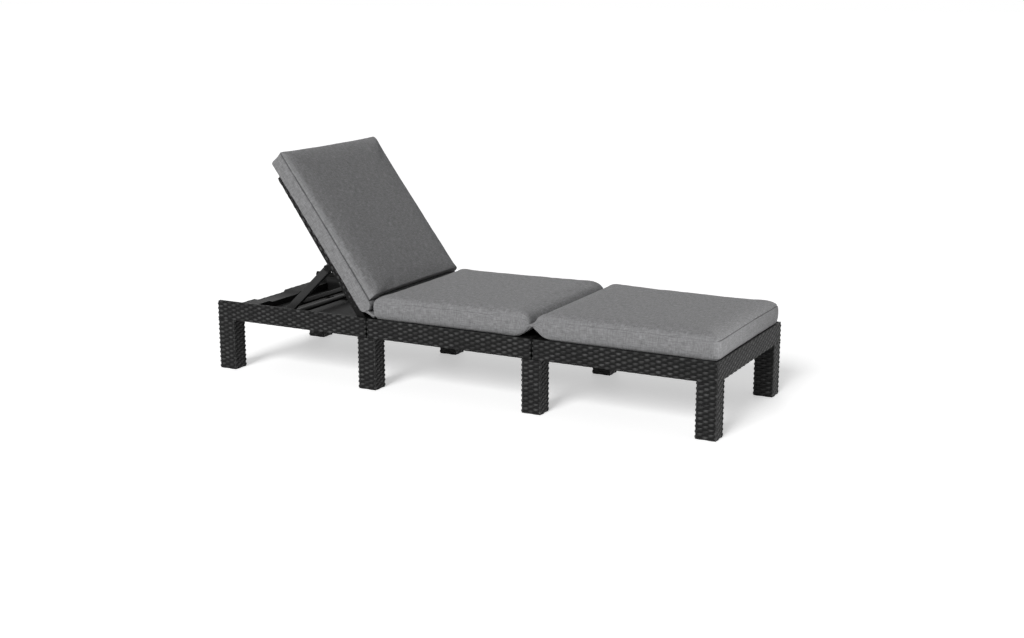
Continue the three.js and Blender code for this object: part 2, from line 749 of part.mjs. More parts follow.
function cushionNeck() {
  const low = deckTop + fitGap + neckLift;
  const high = deckTop + fitGap + seatPadSide - neckDip;
  const middle = (low + high) / 2;
  const reach = padWidth / 2 - padCorner;
  return block(
    neckX - neckWidth / 2, neckX + neckWidth / 2, -reach, reach,
    middle - neckThickness / 2, middle + neckThickness / 2,
  );
}

const lounger = new THREE.Group();

lounger.add(named("head_frame", headModule(), resin));
const seatStart = headSeam + seamGap / 2;
const seatEnd = footSeam - seamGap / 2;
const footStart = footSeam + seamGap / 2;
const seatBoltedWalls = [[seatStart, 1], [seatEnd - wall, -1]];
lounger.add(named("seat_frame", deckedModule("seat", seatStart, seatEnd, seatBoltedWalls), resin));
lounger.add(named("foot_frame", deckedModule("foot", footStart, halfLength, [[footStart, 1]]), resin));

sides.forEach(([side, sign]) => {
  legRows.forEach((row) => {
    lounger.add(named(`leg_${row.row}_${side}`, leg(row, sign), resin));
    row.spigots.forEach(([moduleName, from, to]) => {
      const screw = legScrew(row.x0 + (from + to) / 2, sign);
      lounger.add(named(`leg_screw_${row.row}_${moduleName}_${side}`, screw, steel));
    });
  });
  [["head", headSeam], ["foot", footSeam]].forEach(([seamName, seam]) => {
    lounger.add(named(`seam_bolt_${seamName}_${side}`, seamBolt(seam, sign), steel));
    lounger.add(named(`seam_nut_${seamName}_${side}`, seamNut(seam, sign), steel));
  });
  lounger.add(named(`ratchet_rack_${side}`, rack(sign), smoothResin));
  lounger.add(named(`hinge_pin_${side}`, hingePin(sign), steel));
});

lounger.add(named("seat_cushion", padSection({
  x0: headSeam + seatPadHeadSetback,
  x1: neckX - neckWidth / 2 - fitGap,
  bottom: deckTop + fitGap,
  side: seatPadSide,
  crown: seatCrown,
  neckHigh: true,
}), fabric));
lounger.add(named("foot_cushion", padSection({
  x0: neckX + neckWidth / 2 + fitGap,
  x1: halfLength - footPadSetback,
  bottom: deckTop + fitGap,
  side: seatPadSide,
  crown: seatCrown,
  neckLow: true,
}), fabric));
lounger.add(named("cushion_neck", cushionNeck(), fabric));

const backrest = new THREE.Group();
backrest.position.set(hingeX, 0, hingeZ);
backrest.rotation.y = recline;
backrest.add(named("backrest_panel", backrestPanel(), panelResin));
backrest.add(named("back_cushion", padSection({
  x0: -panelLength - backPadOverhang,
  x1: -backPadStart,
  bottom: hingeBarrelRadius + fitGap,
  side: padSide,
  crown: backCrown,
  lean: backPadLean,
}), fabric));

const prop = new THREE.Group();
prop.position.set(-propPivotAlong, 0, -propPivotBehind);
prop.rotation.y = -recline - propDrop(recline);
sides.forEach(([side, sign]) => {
  backrest.add(named(`prop_pin_${side}`, propPin(sign), steel));
  prop.add(named(`prop_arm_${side}`, propArm(sign), smoothResin));
});
prop.add(named("prop_foot_bar", propFootBar(), smoothResin));
prop.add(named("prop_brace", propBrace(), smoothResin));
backrest.add(prop);
lounger.add(backrest);

export default lounger;
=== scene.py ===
"""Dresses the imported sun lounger: woven resin frame and legs, backrest, prop, fastenings and pad.

Everything is in metres and in the model's own directions: +X runs from the head to the foot, +Y away
from the near side and +Z up.
"""

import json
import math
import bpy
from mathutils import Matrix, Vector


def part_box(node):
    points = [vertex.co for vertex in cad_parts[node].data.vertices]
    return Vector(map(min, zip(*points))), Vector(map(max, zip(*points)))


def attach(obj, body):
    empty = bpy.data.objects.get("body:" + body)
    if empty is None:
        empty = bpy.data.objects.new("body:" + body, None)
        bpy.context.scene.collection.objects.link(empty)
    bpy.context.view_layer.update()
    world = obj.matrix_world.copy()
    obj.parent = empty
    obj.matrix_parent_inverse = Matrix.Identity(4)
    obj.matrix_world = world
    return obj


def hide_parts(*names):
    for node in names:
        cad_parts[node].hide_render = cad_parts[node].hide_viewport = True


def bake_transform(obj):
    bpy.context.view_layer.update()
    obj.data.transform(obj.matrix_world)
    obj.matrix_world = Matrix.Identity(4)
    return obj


bl_info = {
    "name": "Woven resin sun lounger",
    "version": (1, 0, 0),
    "blender": (4, 5, 0),
    "location": "3D View > Sidebar > Lounger",
    "description": "Builds the looks of a woven resin sun lounger round its packed model",
    "category": "Add Mesh",
}

import bmesh
import bpy
import numpy as np
from bpy.props import FloatProperty, FloatVectorProperty, IntProperty, PointerProperty
from mathutils import Matrix, Vector, noise

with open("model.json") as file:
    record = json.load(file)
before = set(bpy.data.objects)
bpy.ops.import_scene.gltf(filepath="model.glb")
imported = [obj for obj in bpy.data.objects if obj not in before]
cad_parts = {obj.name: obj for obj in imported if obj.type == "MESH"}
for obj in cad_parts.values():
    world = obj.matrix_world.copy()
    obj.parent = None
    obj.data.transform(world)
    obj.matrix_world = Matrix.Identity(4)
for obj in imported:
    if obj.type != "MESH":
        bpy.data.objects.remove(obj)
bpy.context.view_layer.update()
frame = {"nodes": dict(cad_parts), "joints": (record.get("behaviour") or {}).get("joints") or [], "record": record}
NODES = frame["nodes"]
RECORD = frame["record"]

MM = 0.001
JOINTS = {joint["name"]: joint for joint in frame["joints"]}
HINGE = Vector(JOINTS["back_recline"]["pos_m"])
RECLINE = -math.radians(JOINTS["back_recline"]["range_deg"][0])
# From the backrest's own directions, lying flat with the hinge line on the origin, to where it is at rest
BACK_PLACE = Matrix.Translation(HINGE) @ Matrix.Rotation(RECLINE, 4, "Y")

WOVEN_RESIN = "Moulded polypropylene, woven relief"
FRAME_CORNER = 5 * MM
# How far the smooth core is drawn in under its woven skin
CORE_DEPTH = 3.2 * MM
# What is left open where two mouldings meet, and under a leg's skin
JOINT_GAP = 0.3 * MM
# How far a woven rim stands over the moulding, so that the two don't lie in one plane
RIM_OVER = 0.15 * MM
# How near to a face's plane a vertex has to be to count as on it
TOUCH = 0.1 * MM
# A quarter turn in WRAP_STEPS gets wraps in its middle, because each of its steps turns by more than
# WRAP_TURN. One in SMALL_STEPS gets none.
WRAP_STEPS, SMALL_STEPS = 6, 12
WRAP_TURN = math.radians(10)


# ---------------------------------------------------------------- small helpers


def linear(code):
    """An sRGB hex code as the linear RGBA that Blender's sockets take."""
    values = [int(code[i : i + 2], 16) / 255 for i in (1, 3, 5)]
    turned = [v / 12.92 if v <= 0.04045 else ((v + 0.055) / 1.055) ** 2.4 for v in values]
    return (*turned, 1.0)


def add(tree, kind, *feeds, named=None, out=0, **settings):
    """Adds a node, gives it its settings, feeds its inputs from sockets or values, and returns an output."""
    made = tree.nodes.new(kind)
    for name, value in settings.items():
        setattr(made, name, value)
    places = dict(enumerate(feeds))
    places.update(named or {})
    for place, value in places.items():
        if isinstance(value, bpy.types.NodeSocket):
            tree.links.new(value, made.inputs[place])
        else:
            made.inputs[place].default_value = value
    return made.outputs[out] if len(made.outputs) else made


def calc(tree, operation, *feeds):
    """The result of a math node."""
    return add(tree, "ShaderNodeMath", *feeds, operation=operation)


def vector(tree, operation, *feeds, **others):
    """The result of a vector math node."""
    return add(tree, "ShaderNodeVectorMath", *feeds, operation=operation, **others)


def product(tree, level, *others):
    """All the values multiplied."""
    for other in others:
        level = calc(tree, "MULTIPLY", level, other)
    return level


def spread(tree, value, low, high, start=0.3, end=0.7):
    """A value that runs from start to end, as most of a noise does, drawn out to run from low to high."""
    return add(tree, "ShaderNodeMapRange", value, start, end, low, high)


def noisy(tree, place, scale, detail, **others):
    """A noise over a place."""
    named = {"Vector": place, "Scale": scale, "Detail": detail, **others}
    return add(tree, "ShaderNodeTexNoise", named=named)


def tinted(tree, colour, level):
    """A colour multiplied by a level."""
    named = {0: 1.0, 6: tuple(colour), 7: level}
    return add(tree, "ShaderNodeMix", data_type="RGBA", blend_type="MULTIPLY", out=2, named=named)


def bumped(tree, height, strength, depth_mm):
    """The normal over a relief."""
    named = {"Strength": strength, "Distance": depth_mm * MM, "Height": height}
    return add(tree, "ShaderNodeBump", named=named)


def new_material(name, **values):
    """A material with one Principled BSDF whose sockets get the values given."""
    material = bpy.data.materials.new(name)
    material.use_nodes = True
    shader = material.node_tree.nodes["Principled BSDF"]
    for socket, value in values.items():
        shader.inputs[socket.replace("_", " ")].default_value = value
    return material, material.node_tree, shader


def wire(tree, shader, **feeds):
    """Links nodes to the shader's sockets."""
    for socket, feed in feeds.items():
        tree.links.new(feed, shader.inputs[socket.replace("_", " ")])


def new_geometry_tree(name, inputs):
    """An empty geometry tree with named inputs, and its input sockets and output socket."""
    tree = bpy.data.node_groups.new(name, "GeometryNodeTree")
    for way in ("INPUT", "OUTPUT"):
        tree.interface.new_socket("Geometry", in_out=way, socket_type="NodeSocketGeometry")
    for socket, kind in inputs.items():
        tree.interface.new_socket(socket, in_out="INPUT", socket_type=f"NodeSocket{kind}")
    entry = tree.nodes.new("NodeGroupInput")
    leave = tree.nodes.new("NodeGroupOutput")
    return tree, entry.outputs, leave.inputs[0]


def put(name, data):
    """A new object in the scene."""
    made = bpy.data.objects.new(name, data)
    bpy.context.scene.collection.objects.link(made)
    return made


def grown(base, tree, values):
    """The plain mesh that a geometry tree makes of a base mesh."""
    seed = put("seed", base)
    modifier = seed.modifiers.new(tree.name, "NODES")
    modifier.node_group = tree
    for item in tree.interface.items_tree:
        if item.in_out == "INPUT" and item.name in values:
            modifier[item.identifier] = values[item.name]
    return baked(seed)


def baked(holder):
    """The object's mesh with its modifiers applied. The object itself is removed."""
    bpy.context.view_layer.update()
    depsgraph = bpy.context.evaluated_depsgraph_get()
    mesh = bpy.data.meshes.new_from_object(holder.evaluated_get(depsgraph), depsgraph=depsgraph)
    bpy.data.objects.remove(holder)
    if not mesh.polygons:
        raise RuntimeError("a piece came out empty")
    return mesh


def cleaned_copy(node):
    """A bmesh of a node's mesh, with its loose triangles merged and its flat faces whole."""
    shape = bmesh.new()
    shape.from_mesh(NODES[node].data)
    bmesh.ops.remove_doubles(shape, verts=shape.verts, dist=1e-6)
    bmesh.ops.dissolve_limit(
        shape, angle_limit=math.radians(0.5), use_dissolve_boundaries=False, verts=shape.verts,
        edges=shape.edges, delimit={"NORMAL"},
    )
    return shape


def mesh_of(shape, name):
    """The mesh of a bmesh, which is freed."""
    mesh = bpy.data.meshes.new(name)
    shape.to_mesh(mesh)
    shape.free()
    return mesh


def closed(mesh):
    """The mesh with its open rims filled and its faces turned outward."""
    shape = bmesh.new()
    shape.from_mesh(mesh)
    rims = [edge for edge in shape.edges if edge.is_boundary]
    if rims:
        bmesh.ops.holes_fill(shape, edges=rims, sides=0)
    bmesh.ops.recalc_face_normals(shape, faces=shape.faces)
    shape.to_mesh(mesh)
    shape.free()
    return mesh


def painted(mesh, material):
    """The mesh with one material."""
    mesh.materials.clear()
    mesh.materials.append(material)
    return mesh


def soften(mesh, degrees):
    """Shades the mesh smooth but for edges sharper than the angle."""
    mesh.shade_smooth()
    mesh.set_sharp_from_angle(angle=math.radians(degrees))
    return mesh


def add_piece(name, meshes, body, slot, *replaced):
    """One object of the meshes, which rides on a body and stands for CAD nodes.
    Its slot argument is not used.
    """
    objects = [put(name, mesh) for mesh in meshes]
    piece = objects[0]
    if len(objects) > 1:
        with bpy.context.temp_override(
            active_object=piece, object=piece, selected_objects=objects, selected_editable_objects=objects
        ):
            bpy.ops.object.join()
    piece.name = name
    piece.data.name = name
    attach(piece, body)
    if replaced:
        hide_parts(*replaced)
    return piece


def nodes_of(slot):
    """The names of the CAD nodes that take a slot's finish."""
    return [part["node"] for part in RECORD["subparts"] if part["material_slot"] == slot]


# ---------------------------------------------------------------- settings


def in_mm(name, size, description):
    """A length, given in millimetres and kept in metres."""
    return FloatProperty(name=name, description=description, default=size * MM, unit="LENGTH")


def strength(name, value, description):
    """The strength of a light."""
    return FloatProperty(name=name, description=description, default=value, min=0)


def steps(name, count, least, description):
    """How many faces something gets."""
    return IntProperty(name=name, description=description, default=count, min=least)


def tone(name, code, description):
    """A colour, given as an sRGB hex code."""
    return FloatVectorProperty(
        name=name, description=description, subtype="COLOR", size=4, default=linear(code), min=0, max=1
    )


class WovenSettings(bpy.types.PropertyGroup):
    """Sizes and colours of the moulded weave and of the plain mouldings."""

    strand_height: in_mm("Strand height", 8.75, "Height of one woven strand")
    stake_spacing: in_mm("Stake spacing", 19.8, "Distance between the upright stakes")
    swing: in_mm("Strand swing", 1.5, "How far a strand swings in and out round the stakes")
    roundness: in_mm("Strand roundness", 1.1, "How far a strand's middle stands over its edges")
    proud: in_mm("Proud", 2.5, "How far the crowns of the weave stand over the module's moulded faces")
    corner: in_mm("Corner", 0.8, "How far strands stand over the crowns at an upright corner, on average")
    wrap: in_mm("Wrap", 1.1, "How far every second strand stands over that average at a corner")
    skin: in_mm("Skin", 4.4, "Thickness of the woven skin over the smooth core, without Proud")
    steps_per_stake: steps("Steps per stake", 10, 6, "Faces from one stake to the next")
    steps_per_strand: steps("Steps per strand", 6, 4, "Faces over the height of a strand")
    colour: tone("Woven resin", "#222222", "Colour of the woven resin")
    # Near-black: partly the resin's own dark colour, partly painted shade for the inside of the tray and under the
    # backrest
    shaded_plain_colour: tone("Plain resin", "#080808", "Colour of the smooth inner faces and the racks")
    prop_colour: tone("Prop resin", "#303030", "Colour of the prop")


class PadSettings(bpy.types.PropertyGroup):
    """Sizes and colours of the pad."""

    grid: in_mm("Grid", 9.5, "Size of a face of the pad before it is smoothed")
    pull: in_mm("Side pull", 3, "How far a side draws in between its corners")
    pressure: strength("Filling pressure", 4.0, "Pressure that swells the cover")
    give: in_mm("Give", 5, "Most that the filling may move the cover")
    seam_depth: in_mm("Seam depth", 4, "Depth of the fold at a sewn edge")
    thread: in_mm("Thread spacing", 1.8, "Spacing of the threads as drawn")
    colour: tone("Fabric", "#7d7d7e", "Middle colour of the melange fabric")


class StageSettings(bpy.types.PropertyGroup):
    """Light and floor."""

    sky: strength("Sky", 0.18, "Strength of the white surroundings")
    key: strength("Key light", 3.0, "Strength of the key light")
    back: strength("Back light", 0.45, "Strength of the weak light from the far side")
    foot_fill: strength("Foot fill", 4.5, "Watts that fill the pad's foot end")
    floor_lift: strength("Floor lift", 0.5, "Light that the camera sees on the floor beyond what it gets")


class LoungerSettings(bpy.types.PropertyGroup):
    """All settings of the lounger."""

    woven: PointerProperty(type=WovenSettings)
    pad: PointerProperty(type=PadSettings)
    stage: PointerProperty(type=StageSettings)


# ---------------------------------------------------------------- materials


def woven_resin(settings):
    """Polypropylene moulded as a flat weave: satin, with fine drawn lines along each strand.

    The lines and a slightly different tone for each strand are what tell it from a plain moulding. Its
    crowns are drawn paler and its grooves darker, as a painted highlight and painted shade.
    """
    material, tree, shader = new_material(
        WOVEN_RESIN, Base_Color=settings.colour, Roughness=0.46, IOR=1.49, Specular_IOR_Level=0.2
    )
    weave = add(tree, "ShaderNodeAttribute", attribute_name="weave", out=1)
    crown = add(tree, "ShaderNodeAttribute", attribute_name="crown", out=2)
    own = add(tree, "ShaderNodeSeparateXYZ", weave, out=2)
    # Drawn lines 0.9 mm apart and about 40 mm long
    lines = noisy(tree, vector(tree, "MULTIPLY", weave, (25.0, 1100.0, 37.0)), 1.0, 2.0)
    blotches = noisy(tree, weave, 60.0, 3.0)
    # The crown level is painted light: a painted highlight on the strands' crowns and painted shade in the grooves
    level = product(
        tree, calc(tree, "MULTIPLY_ADD", own, 1.1, 0.4), spread(tree, lines, 0.8, 1.2),
        spread(tree, blotches, 0.9, 1.1), spread(tree, crown, 0.12, 2.6, start=0.6, end=1.0),
    )
    wire(
        tree, shader, Base_Color=tinted(tree, settings.colour, level),
        Roughness=spread(tree, lines, 0.38, 0.56), Normal=bumped(tree, lines, 0.5, 0.15),
    )
    return material


def plain_resin(name, colour, grain_mm, roughness):
    """Polypropylene moulded in an eroded tool: a fine even grain, a satin face and a faint cloudiness."""
    material, tree, shader = new_material(
        name, Base_Color=colour, Roughness=roughness, IOR=1.49, Specular_IOR_Level=0.14
    )
    place = add(tree, "ShaderNodeTexCoord", out=3)
    grain = noisy(tree, place, 1 / (grain_mm * MM), 3.0, Roughness=0.6)
    flow = noisy(tree, place, 9.0, 3.0)
    level = product(tree, spread(tree, flow, 0.88, 1.12), spread(tree, grain, 0.94, 1.06))
    wire(
        tree, shader, Base_Color=tinted(tree, colour, level), Normal=bumped(tree, grain, 0.35, 0.12),
        Roughness=spread(tree, grain, roughness - 0.07, roughness + 0.09),
    )
    return material


def zinc_steel():
    """Zinc-plated steel, turned and passivated: pale, with fine lathe lines and a faint cloudy bloom."""
    material, tree, shader = new_material(
        "Zinc-plated steel", Base_Color=linear("#b4b6ba"), Metallic=1.0, Roughness=0.34
    )
    place = add(tree, "ShaderNodeTexCoord", out=3)
    bloom = noisy(tree, place, 260.0, 4.0)
    named = {0: bloom, 6: linear("#8f9196"), 7: linear("#cfd1d3")}
    colour = add(tree, "ShaderNodeMix", data_type="RGBA", out=2, named=named)
    # Lathe lines 0.4 mm apart
    turned = add(
        tree, "ShaderNodeTexWave", wave_type="BANDS", bands_direction="DIAGONAL",
        named={"Vector": place, "Scale": 2500.0, "Distortion": 1.0},
    )
    wire(
        tree, shader, Base_Color=colour, Roughness=spread(tree, bloom, 0.26, 0.46),
        Normal=bumped(tree, turned, 0.25, 0.03),
    )
    return material


def melange_fabric(settings):
    """Woven polyester from melange yarn: matt with a soft sheen, its threads paler and darker along them.

    The real threads are about 0.6 mm apart. They are drawn coarser, so that they show in a picture of the
    whole lounger.
    """
    material, tree, shader = new_material(
        "Woven polyester, grey melange", Base_Color=settings.colour, Roughness=0.93, IOR=1.46,
        Specular_IOR_Level=0.2, Sheen_Weight=0.12, Sheen_Roughness=0.45,
    )
    cloth = add(tree, "ShaderNodeUVMap", uv_map="Cloth")
    count = vector(tree, "MULTIPLY", cloth, (1 / settings.thread,) * 3)
    checks = add(
        tree, "ShaderNodeTexChecker", out=1,
        named={"Vector": count, "Scale": 1.0, "Color1": (1, 1, 1, 1), "Color2": (0, 0, 0, 1)},
    )
    weft = noisy(tree, vector(tree, "MULTIPLY", count, (0.09, 1.0, 1.0)), 1.0, 1.0)
    warp = noisy(tree, vector(tree, "MULTIPLY", count, (1.0, 0.09, 1.0)), 1.0, 1.0)
    yarn = add(tree, "ShaderNodeMix", named={0: checks, 2: weft, 3: warp})
    # Slubs where the yarn runs thicker: 5 mm wide and about 20 mm long, one way and the other
    ways = ((50.0, 200.0, 1.0), (200.0, 50.0, 1.0))
    slubs = [noisy(tree, vector(tree, "MULTIPLY", cloth, way), 1.0, 2.0) for way in ways]
    thick = spread(tree, calc(tree, "ADD", *slubs), 0.82, 1.18, start=0.75, end=1.25)
    # The folded edges and thread of a seam lie in its shadow
    seam = add(tree, "ShaderNodeAttribute", attribute_name="seam", out=2)
    folded = spread(tree, seam, 1.0, 0.42, start=0.25, end=0.7)
    shade = spread(tree, noisy(tree, cloth, 45.0, 3.0), 0.96, 1.04)
    level = product(tree, spread(tree, yarn, 0.72, 1.28, start=0.25, end=0.75), shade, thick, folded)
    # Each thread is a low round ridge between the two beside it
    turned = vector(tree, "MULTIPLY", count, (math.pi,) * 3)
    ridges = vector(tree, "ABSOLUTE", vector(tree, "SINE", turned))
    split = add(tree, "ShaderNodeSeparateXYZ", ridges).node.outputs
    height = add(tree, "ShaderNodeMix", named={0: checks, 2: split[1], 3: split[0]})
    wire(
        tree, shader, Base_Color=tinted(tree, settings.colour, level), Normal=bumped(tree, height, 0.55, 0.35)
    )
    return material


# ---------------------------------------------------------------- woven walls


# The inputs of the woven wall's nodes that are settings of the same names
WEAVE_SIZES = ("Strand height", "Stake spacing", "Swing", "Roundness", "Corner", "Wrap")
WEAVE_STEPS = ("Steps per stake", "Steps per strand")


def woven_wall_tree():
    """Geometry nodes that raise a woven wall over a path.

    The path's height is one edge of the wall and Level the other. The wall is a tube: up its woven outer
    face, over the rim, down its inner face and back under it.
    """
    inputs = dict.fromkeys(("Level", "Row start", "Skin", *WEAVE_SIZES), "Float")
    inputs |= dict.fromkeys(("Rows", "Seed", *WEAVE_STEPS), "Int") | {"Material": "Material"}
    tree, given, result = new_geometry_tree("Woven wall", inputs)
    swing_by, roundness, strand_height = given["Swing"], given["Roundness"], given["Strand height"]

    def do(operation, *feeds):
        return calc(tree, operation, *feeds)

    def parts(feed):
        return add(tree, "ShaderNodeSeparateXYZ", feed).node.outputs

    def arch(across):
        """The height of a half circle over a place across it, which runs from -1 to 1."""
        return do("SQRT", do("MAXIMUM", do("SUBTRACT", 1.0, do("MULTIPLY", across, across)), 0.0))

    curve = add(tree, "GeometryNodeMeshToCurve", given["Geometry"])
    length = add(tree, "GeometryNodeCurveLength", curve)
    pairs = do("MULTIPLY", do("DIVIDE", length, given["Stake spacing"]), 0.5)
    stakes = do("MULTIPLY", do("ROUND", pairs), 2.0)
    spacing = do("DIVIDE", length, stakes)
    columns = do("MULTIPLY", stakes, given["Steps per stake"])
    rise = do("MULTIPLY", given["Rows"], given["Steps per strand"])
    rounds = do("ADD", rise, 3.0)
    grid = add(tree, "GeometryNodeMeshGrid", 1.0, 1.0, do("ADD", columns, 1.0), do("ADD", rounds, 1.0))
    place = parts(add(tree, "GeometryNodeInputPosition"))
    along = do("MULTIPLY", do("ADD", place[0], 0.5), length)
    step = do("MULTIPLY", do("ADD", place[1], 0.5), rounds)

    corner = add(tree, "GeometryNodeInputNamedAttribute", "corner", data_type="FLOAT")
    sample = add(
        tree, "GeometryNodeSampleCurve", mode="LENGTH", data_type="FLOAT",
        named={"Curves": curve, "Value": corner, "Length": along},
    ).node.outputs
    foot = parts(sample["Position"])
    outward = vector(tree, "NORMALIZE", vector(tree, "CROSS_PRODUCT", sample["Tangent"], (0.0, 0.0, 1.0)))

    # 1 on the inner face, 0 on the outer one
    past_rim = do("GREATER_THAN", step, do("ADD", rise, 0.5))
    inner = do("MULTIPLY", past_rim, do("LESS_THAN", step, do("ADD", rise, 2.5)))
    # How far up the wall, from Level to the path's own height
    going_up = do("LESS_THAN", step, do("ADD", rise, 1.5))
    share = do("MULTIPLY", do("MINIMUM", do("DIVIDE", step, rise), 1.0), going_up)
    height = do("MULTIPLY_ADD", do("SUBTRACT", foot[2], given["Level"]), share, given["Level"])

    # The strand that a height falls in, and steps drawn together at the grooves between strands
    row = do("DIVIDE", do("SUBTRACT", height, given["Row start"]), strand_height)
    row = do("ADD", row, 1e-4)
    strand = do("FLOOR", row)
    across = do("SUBTRACT", row, strand)
    wave = do("SINE", do("MULTIPLY", across, 2 * math.pi))
    across = do("MULTIPLY_ADD", wave, -0.07, across)
    height = do("MULTIPLY_ADD", do("ADD", strand, across), strand_height, given["Row start"])

    # The strand swings over one stake and under the next, and its neighbours the other way
    stake = do("DIVIDE", along, spacing)
    phase = do("ADD", stake, strand)
    swing = do("COSINE", do("MULTIPLY", phase, math.pi))
    bulge = arch(do("MULTIPLY_ADD", across, 2.0, -1.0))
    over = do("MULTIPLY_ADD", bulge, roundness, do("MULTIPLY", swing, swing_by))
    # The stake is a round rod, nearly half as wide as their spacing
    aside = do("MULTIPLY", do("SUBTRACT", stake, do("ROUND", stake)), 4.6)
    rod = do("MULTIPLY", do("ADD", arch(aside), -0.75), swing_by)
    top = do("MAXIMUM", over, rod)
    most = do("ADD", swing_by, roundness)
    # At a corner every second strand wraps over a corner stake and stands proud
    turn = do("COSINE", do("MULTIPLY", strand, math.pi))
    wrap = do("ADD", do("MULTIPLY_ADD", turn, given["Wrap"], given["Corner"]), swing_by)
    wrap = do("MULTIPLY_ADD", bulge, roundness, wrap)
    at_corner = spread(tree, sample["Value"], 0.0, 1.0, start=0.0, end=0.6)
    top = add(tree, "ShaderNodeMix", named={0: at_corner, 2: top, 3: wrap})
    # How high the relief stands between its lowest groove, 0, and a crown, 1
    crown = do("DIVIDE", do("ADD", top, swing_by), do("ADD", most, swing_by))
    relief = do("MULTIPLY", do("SUBTRACT", top, most), do("SUBTRACT", 1.0, inner))
    offset = do("SUBTRACT", relief, do("MULTIPLY", given["Skin"], inner))
    ground = add(tree, "ShaderNodeCombineXYZ", foot[0], foot[1], height)
    moved = vector(tree, "ADD", ground, vector(tree, "SCALE", outward, named={3: offset}))

    # What the material reads: the way along and up the wall, and a tone for each length of strand that shows
    span = do("FLOOR", do("MULTIPLY_ADD", phase, 0.5, 0.5))
    own = do("MULTIPLY_ADD", span, 613.0, strand)
    own = do("MULTIPLY_ADD", do("GREATER_THAN", rod, over), 100003.0, own)
    own_tone = add(
        tree, "FunctionNodeRandomValue", data_type="FLOAT", out=1,
        named={2: 0.0, 3: 1.0, "ID": own, "Seed": given["Seed"]},
    )
    facts = add(tree, "ShaderNodeCombineXYZ", along, height, own_tone)
    wall = grid
    for name, kind, domain, value in (
        ("weave", "FLOAT_VECTOR", "CORNER", facts), ("crown", "FLOAT", "POINT", crown),
    ):
        wall = add(
            tree, "GeometryNodeStoreNamedAttribute", wall, data_type=kind, domain=domain,
            named={"Name": name, "Value": value},
        )
    wall = add(tree, "GeometryNodeSetPosition", wall, named={"Position": moved})
    wall = add(tree, "GeometryNodeMergeByDistance", wall, named={"Distance": 1e-5})
    wall = add(tree, "GeometryNodeRealizeInstances", wall)
    wall = add(tree, "GeometryNodeSetMaterial", wall, named={"Material": given["Material"]})
    tree.links.new(wall, result)
    return tree


def path_mesh(points, loop):
    """A mesh of edges along the points. Its corner attribute is 1 at the middle of each corner with wraps."""
    mesh = bpy.data.meshes.new("path")
    edges = [(i, i + 1) for i in range(len(points) - 1)]
    if loop:
        edges.append((len(points) - 1, 0))
    mesh.from_pydata(points, edges, [])
    places = np.array(points)[:, :2]
    before, after = places - np.roll(places, 1, axis=0), np.roll(places, -1, axis=0) - places
    cross = before[:, 0] * after[:, 1] - before[:, 1] * after[:, 0]
    turning = np.abs(np.arctan2(cross, (before * after).sum(axis=1))) > WRAP_TURN
    if not loop:
        turning[[0, -1]] = False
    middle = turning & np.roll(turning, 1) & np.roll(turning, -1)
    mesh.attributes.new("corner", "FLOAT", "POINT").data.foreach_set("value", middle.astype(np.float32))
    return mesh


def rounded_corner(centre, start, radius=FRAME_CORNER, count=WRAP_STEPS):
    """Points of a quarter circle that turns against the clock from a start angle, in degrees."""
    angles = [math.radians(start + 90 * i / count) for i in range(count + 1)]
    return [(centre[0] + radius * math.cos(a), centre[1] + radius * math.sin(a)) for a in angles]


def filled_in(points, step=4 * MM):
    """The points with more between them, so that a direction is never blended over a long straight."""
    out = [points[0]]
    for start, end in zip(points, points[1:]):
        a, b = Vector(start), Vector(end)
        count = max(1, round((b - a).length / step))
        out.extend(tuple(a.lerp(b, i / count)) for i in range(1, count + 1))
    return out


def woven_wall(settings, points, loop, level, rows, row_start, seed, skin=None):
    """The mesh of a woven wall along the points, with its ends capped."""
    tree = bpy.data.node_groups.get("Woven wall") or woven_wall_tree()
    values = {name: getattr(settings, name.lower().replace(" ", "_")) for name in WEAVE_SIZES + WEAVE_STEPS}
    values |= {
        "Level": level, "Rows": rows, "Row start": row_start, "Skin": skin or settings.skin + settings.proud,
        "Seed": seed, "Material": bpy.data.materials.get(WOVEN_RESIN) or woven_resin(settings),
    }
    return soften(closed(grown(path_mesh(points, loop), tree, values)), 55)


def drawn_in_core(node, low, high, ends, material):
    """A copy of a node whose outer upright faces are drawn in, so that a woven skin covers them.

    low and high are the corners of its rounded outline, and ends says which of its two X ends show.
    """
    shape = cleaned_copy(node)
    middle = (low + high) / 2
    half = (high - low) / 2
    for vertex in shape.verts:
        away = vertex.co - middle
        over = [max(abs(away[i]) - (half[i] - FRAME_CORNER), 0) for i in (0, 1)]
        inside = math.hypot(*over) < FRAME_CORNER - 3 * TOUCH
        on_hidden_end = over[1] < TOUCH and not ends[0 if away.x < 0 else 1]
        if inside or on_hidden_end:
            continue
        for i in (0, 1):
            if over[i] > 0:
                vertex.co[i] -= math.copysign(over[i] * CORE_DEPTH / FRAME_CORNER, away[i])
    return soften(painted(mesh_of(shape, f"{node}_core"), material), 30)


# ---------------------------------------------------------------- pad sections


def corner_rounded(a, b, half_a, half_b, radius):
    """Places on a rectangle, moved so that its corners are round."""
    pa = np.clip((np.abs(a) - (half_a - radius)) / radius, 0, 1)
    pb = np.clip((np.abs(b) - (half_b - radius)) / radius, 0, 1)
    ra = pa * np.sqrt(1 - pb**2 / 2)
    rb = pb * np.sqrt(1 - pa**2 / 2)
    out_a = np.sign(a) * (np.minimum(np.abs(a), half_a - radius) + radius * ra)
    out_b = np.sign(b) * (np.minimum(np.abs(b), half_b - radius) + radius * rb)
    return out_a, out_b


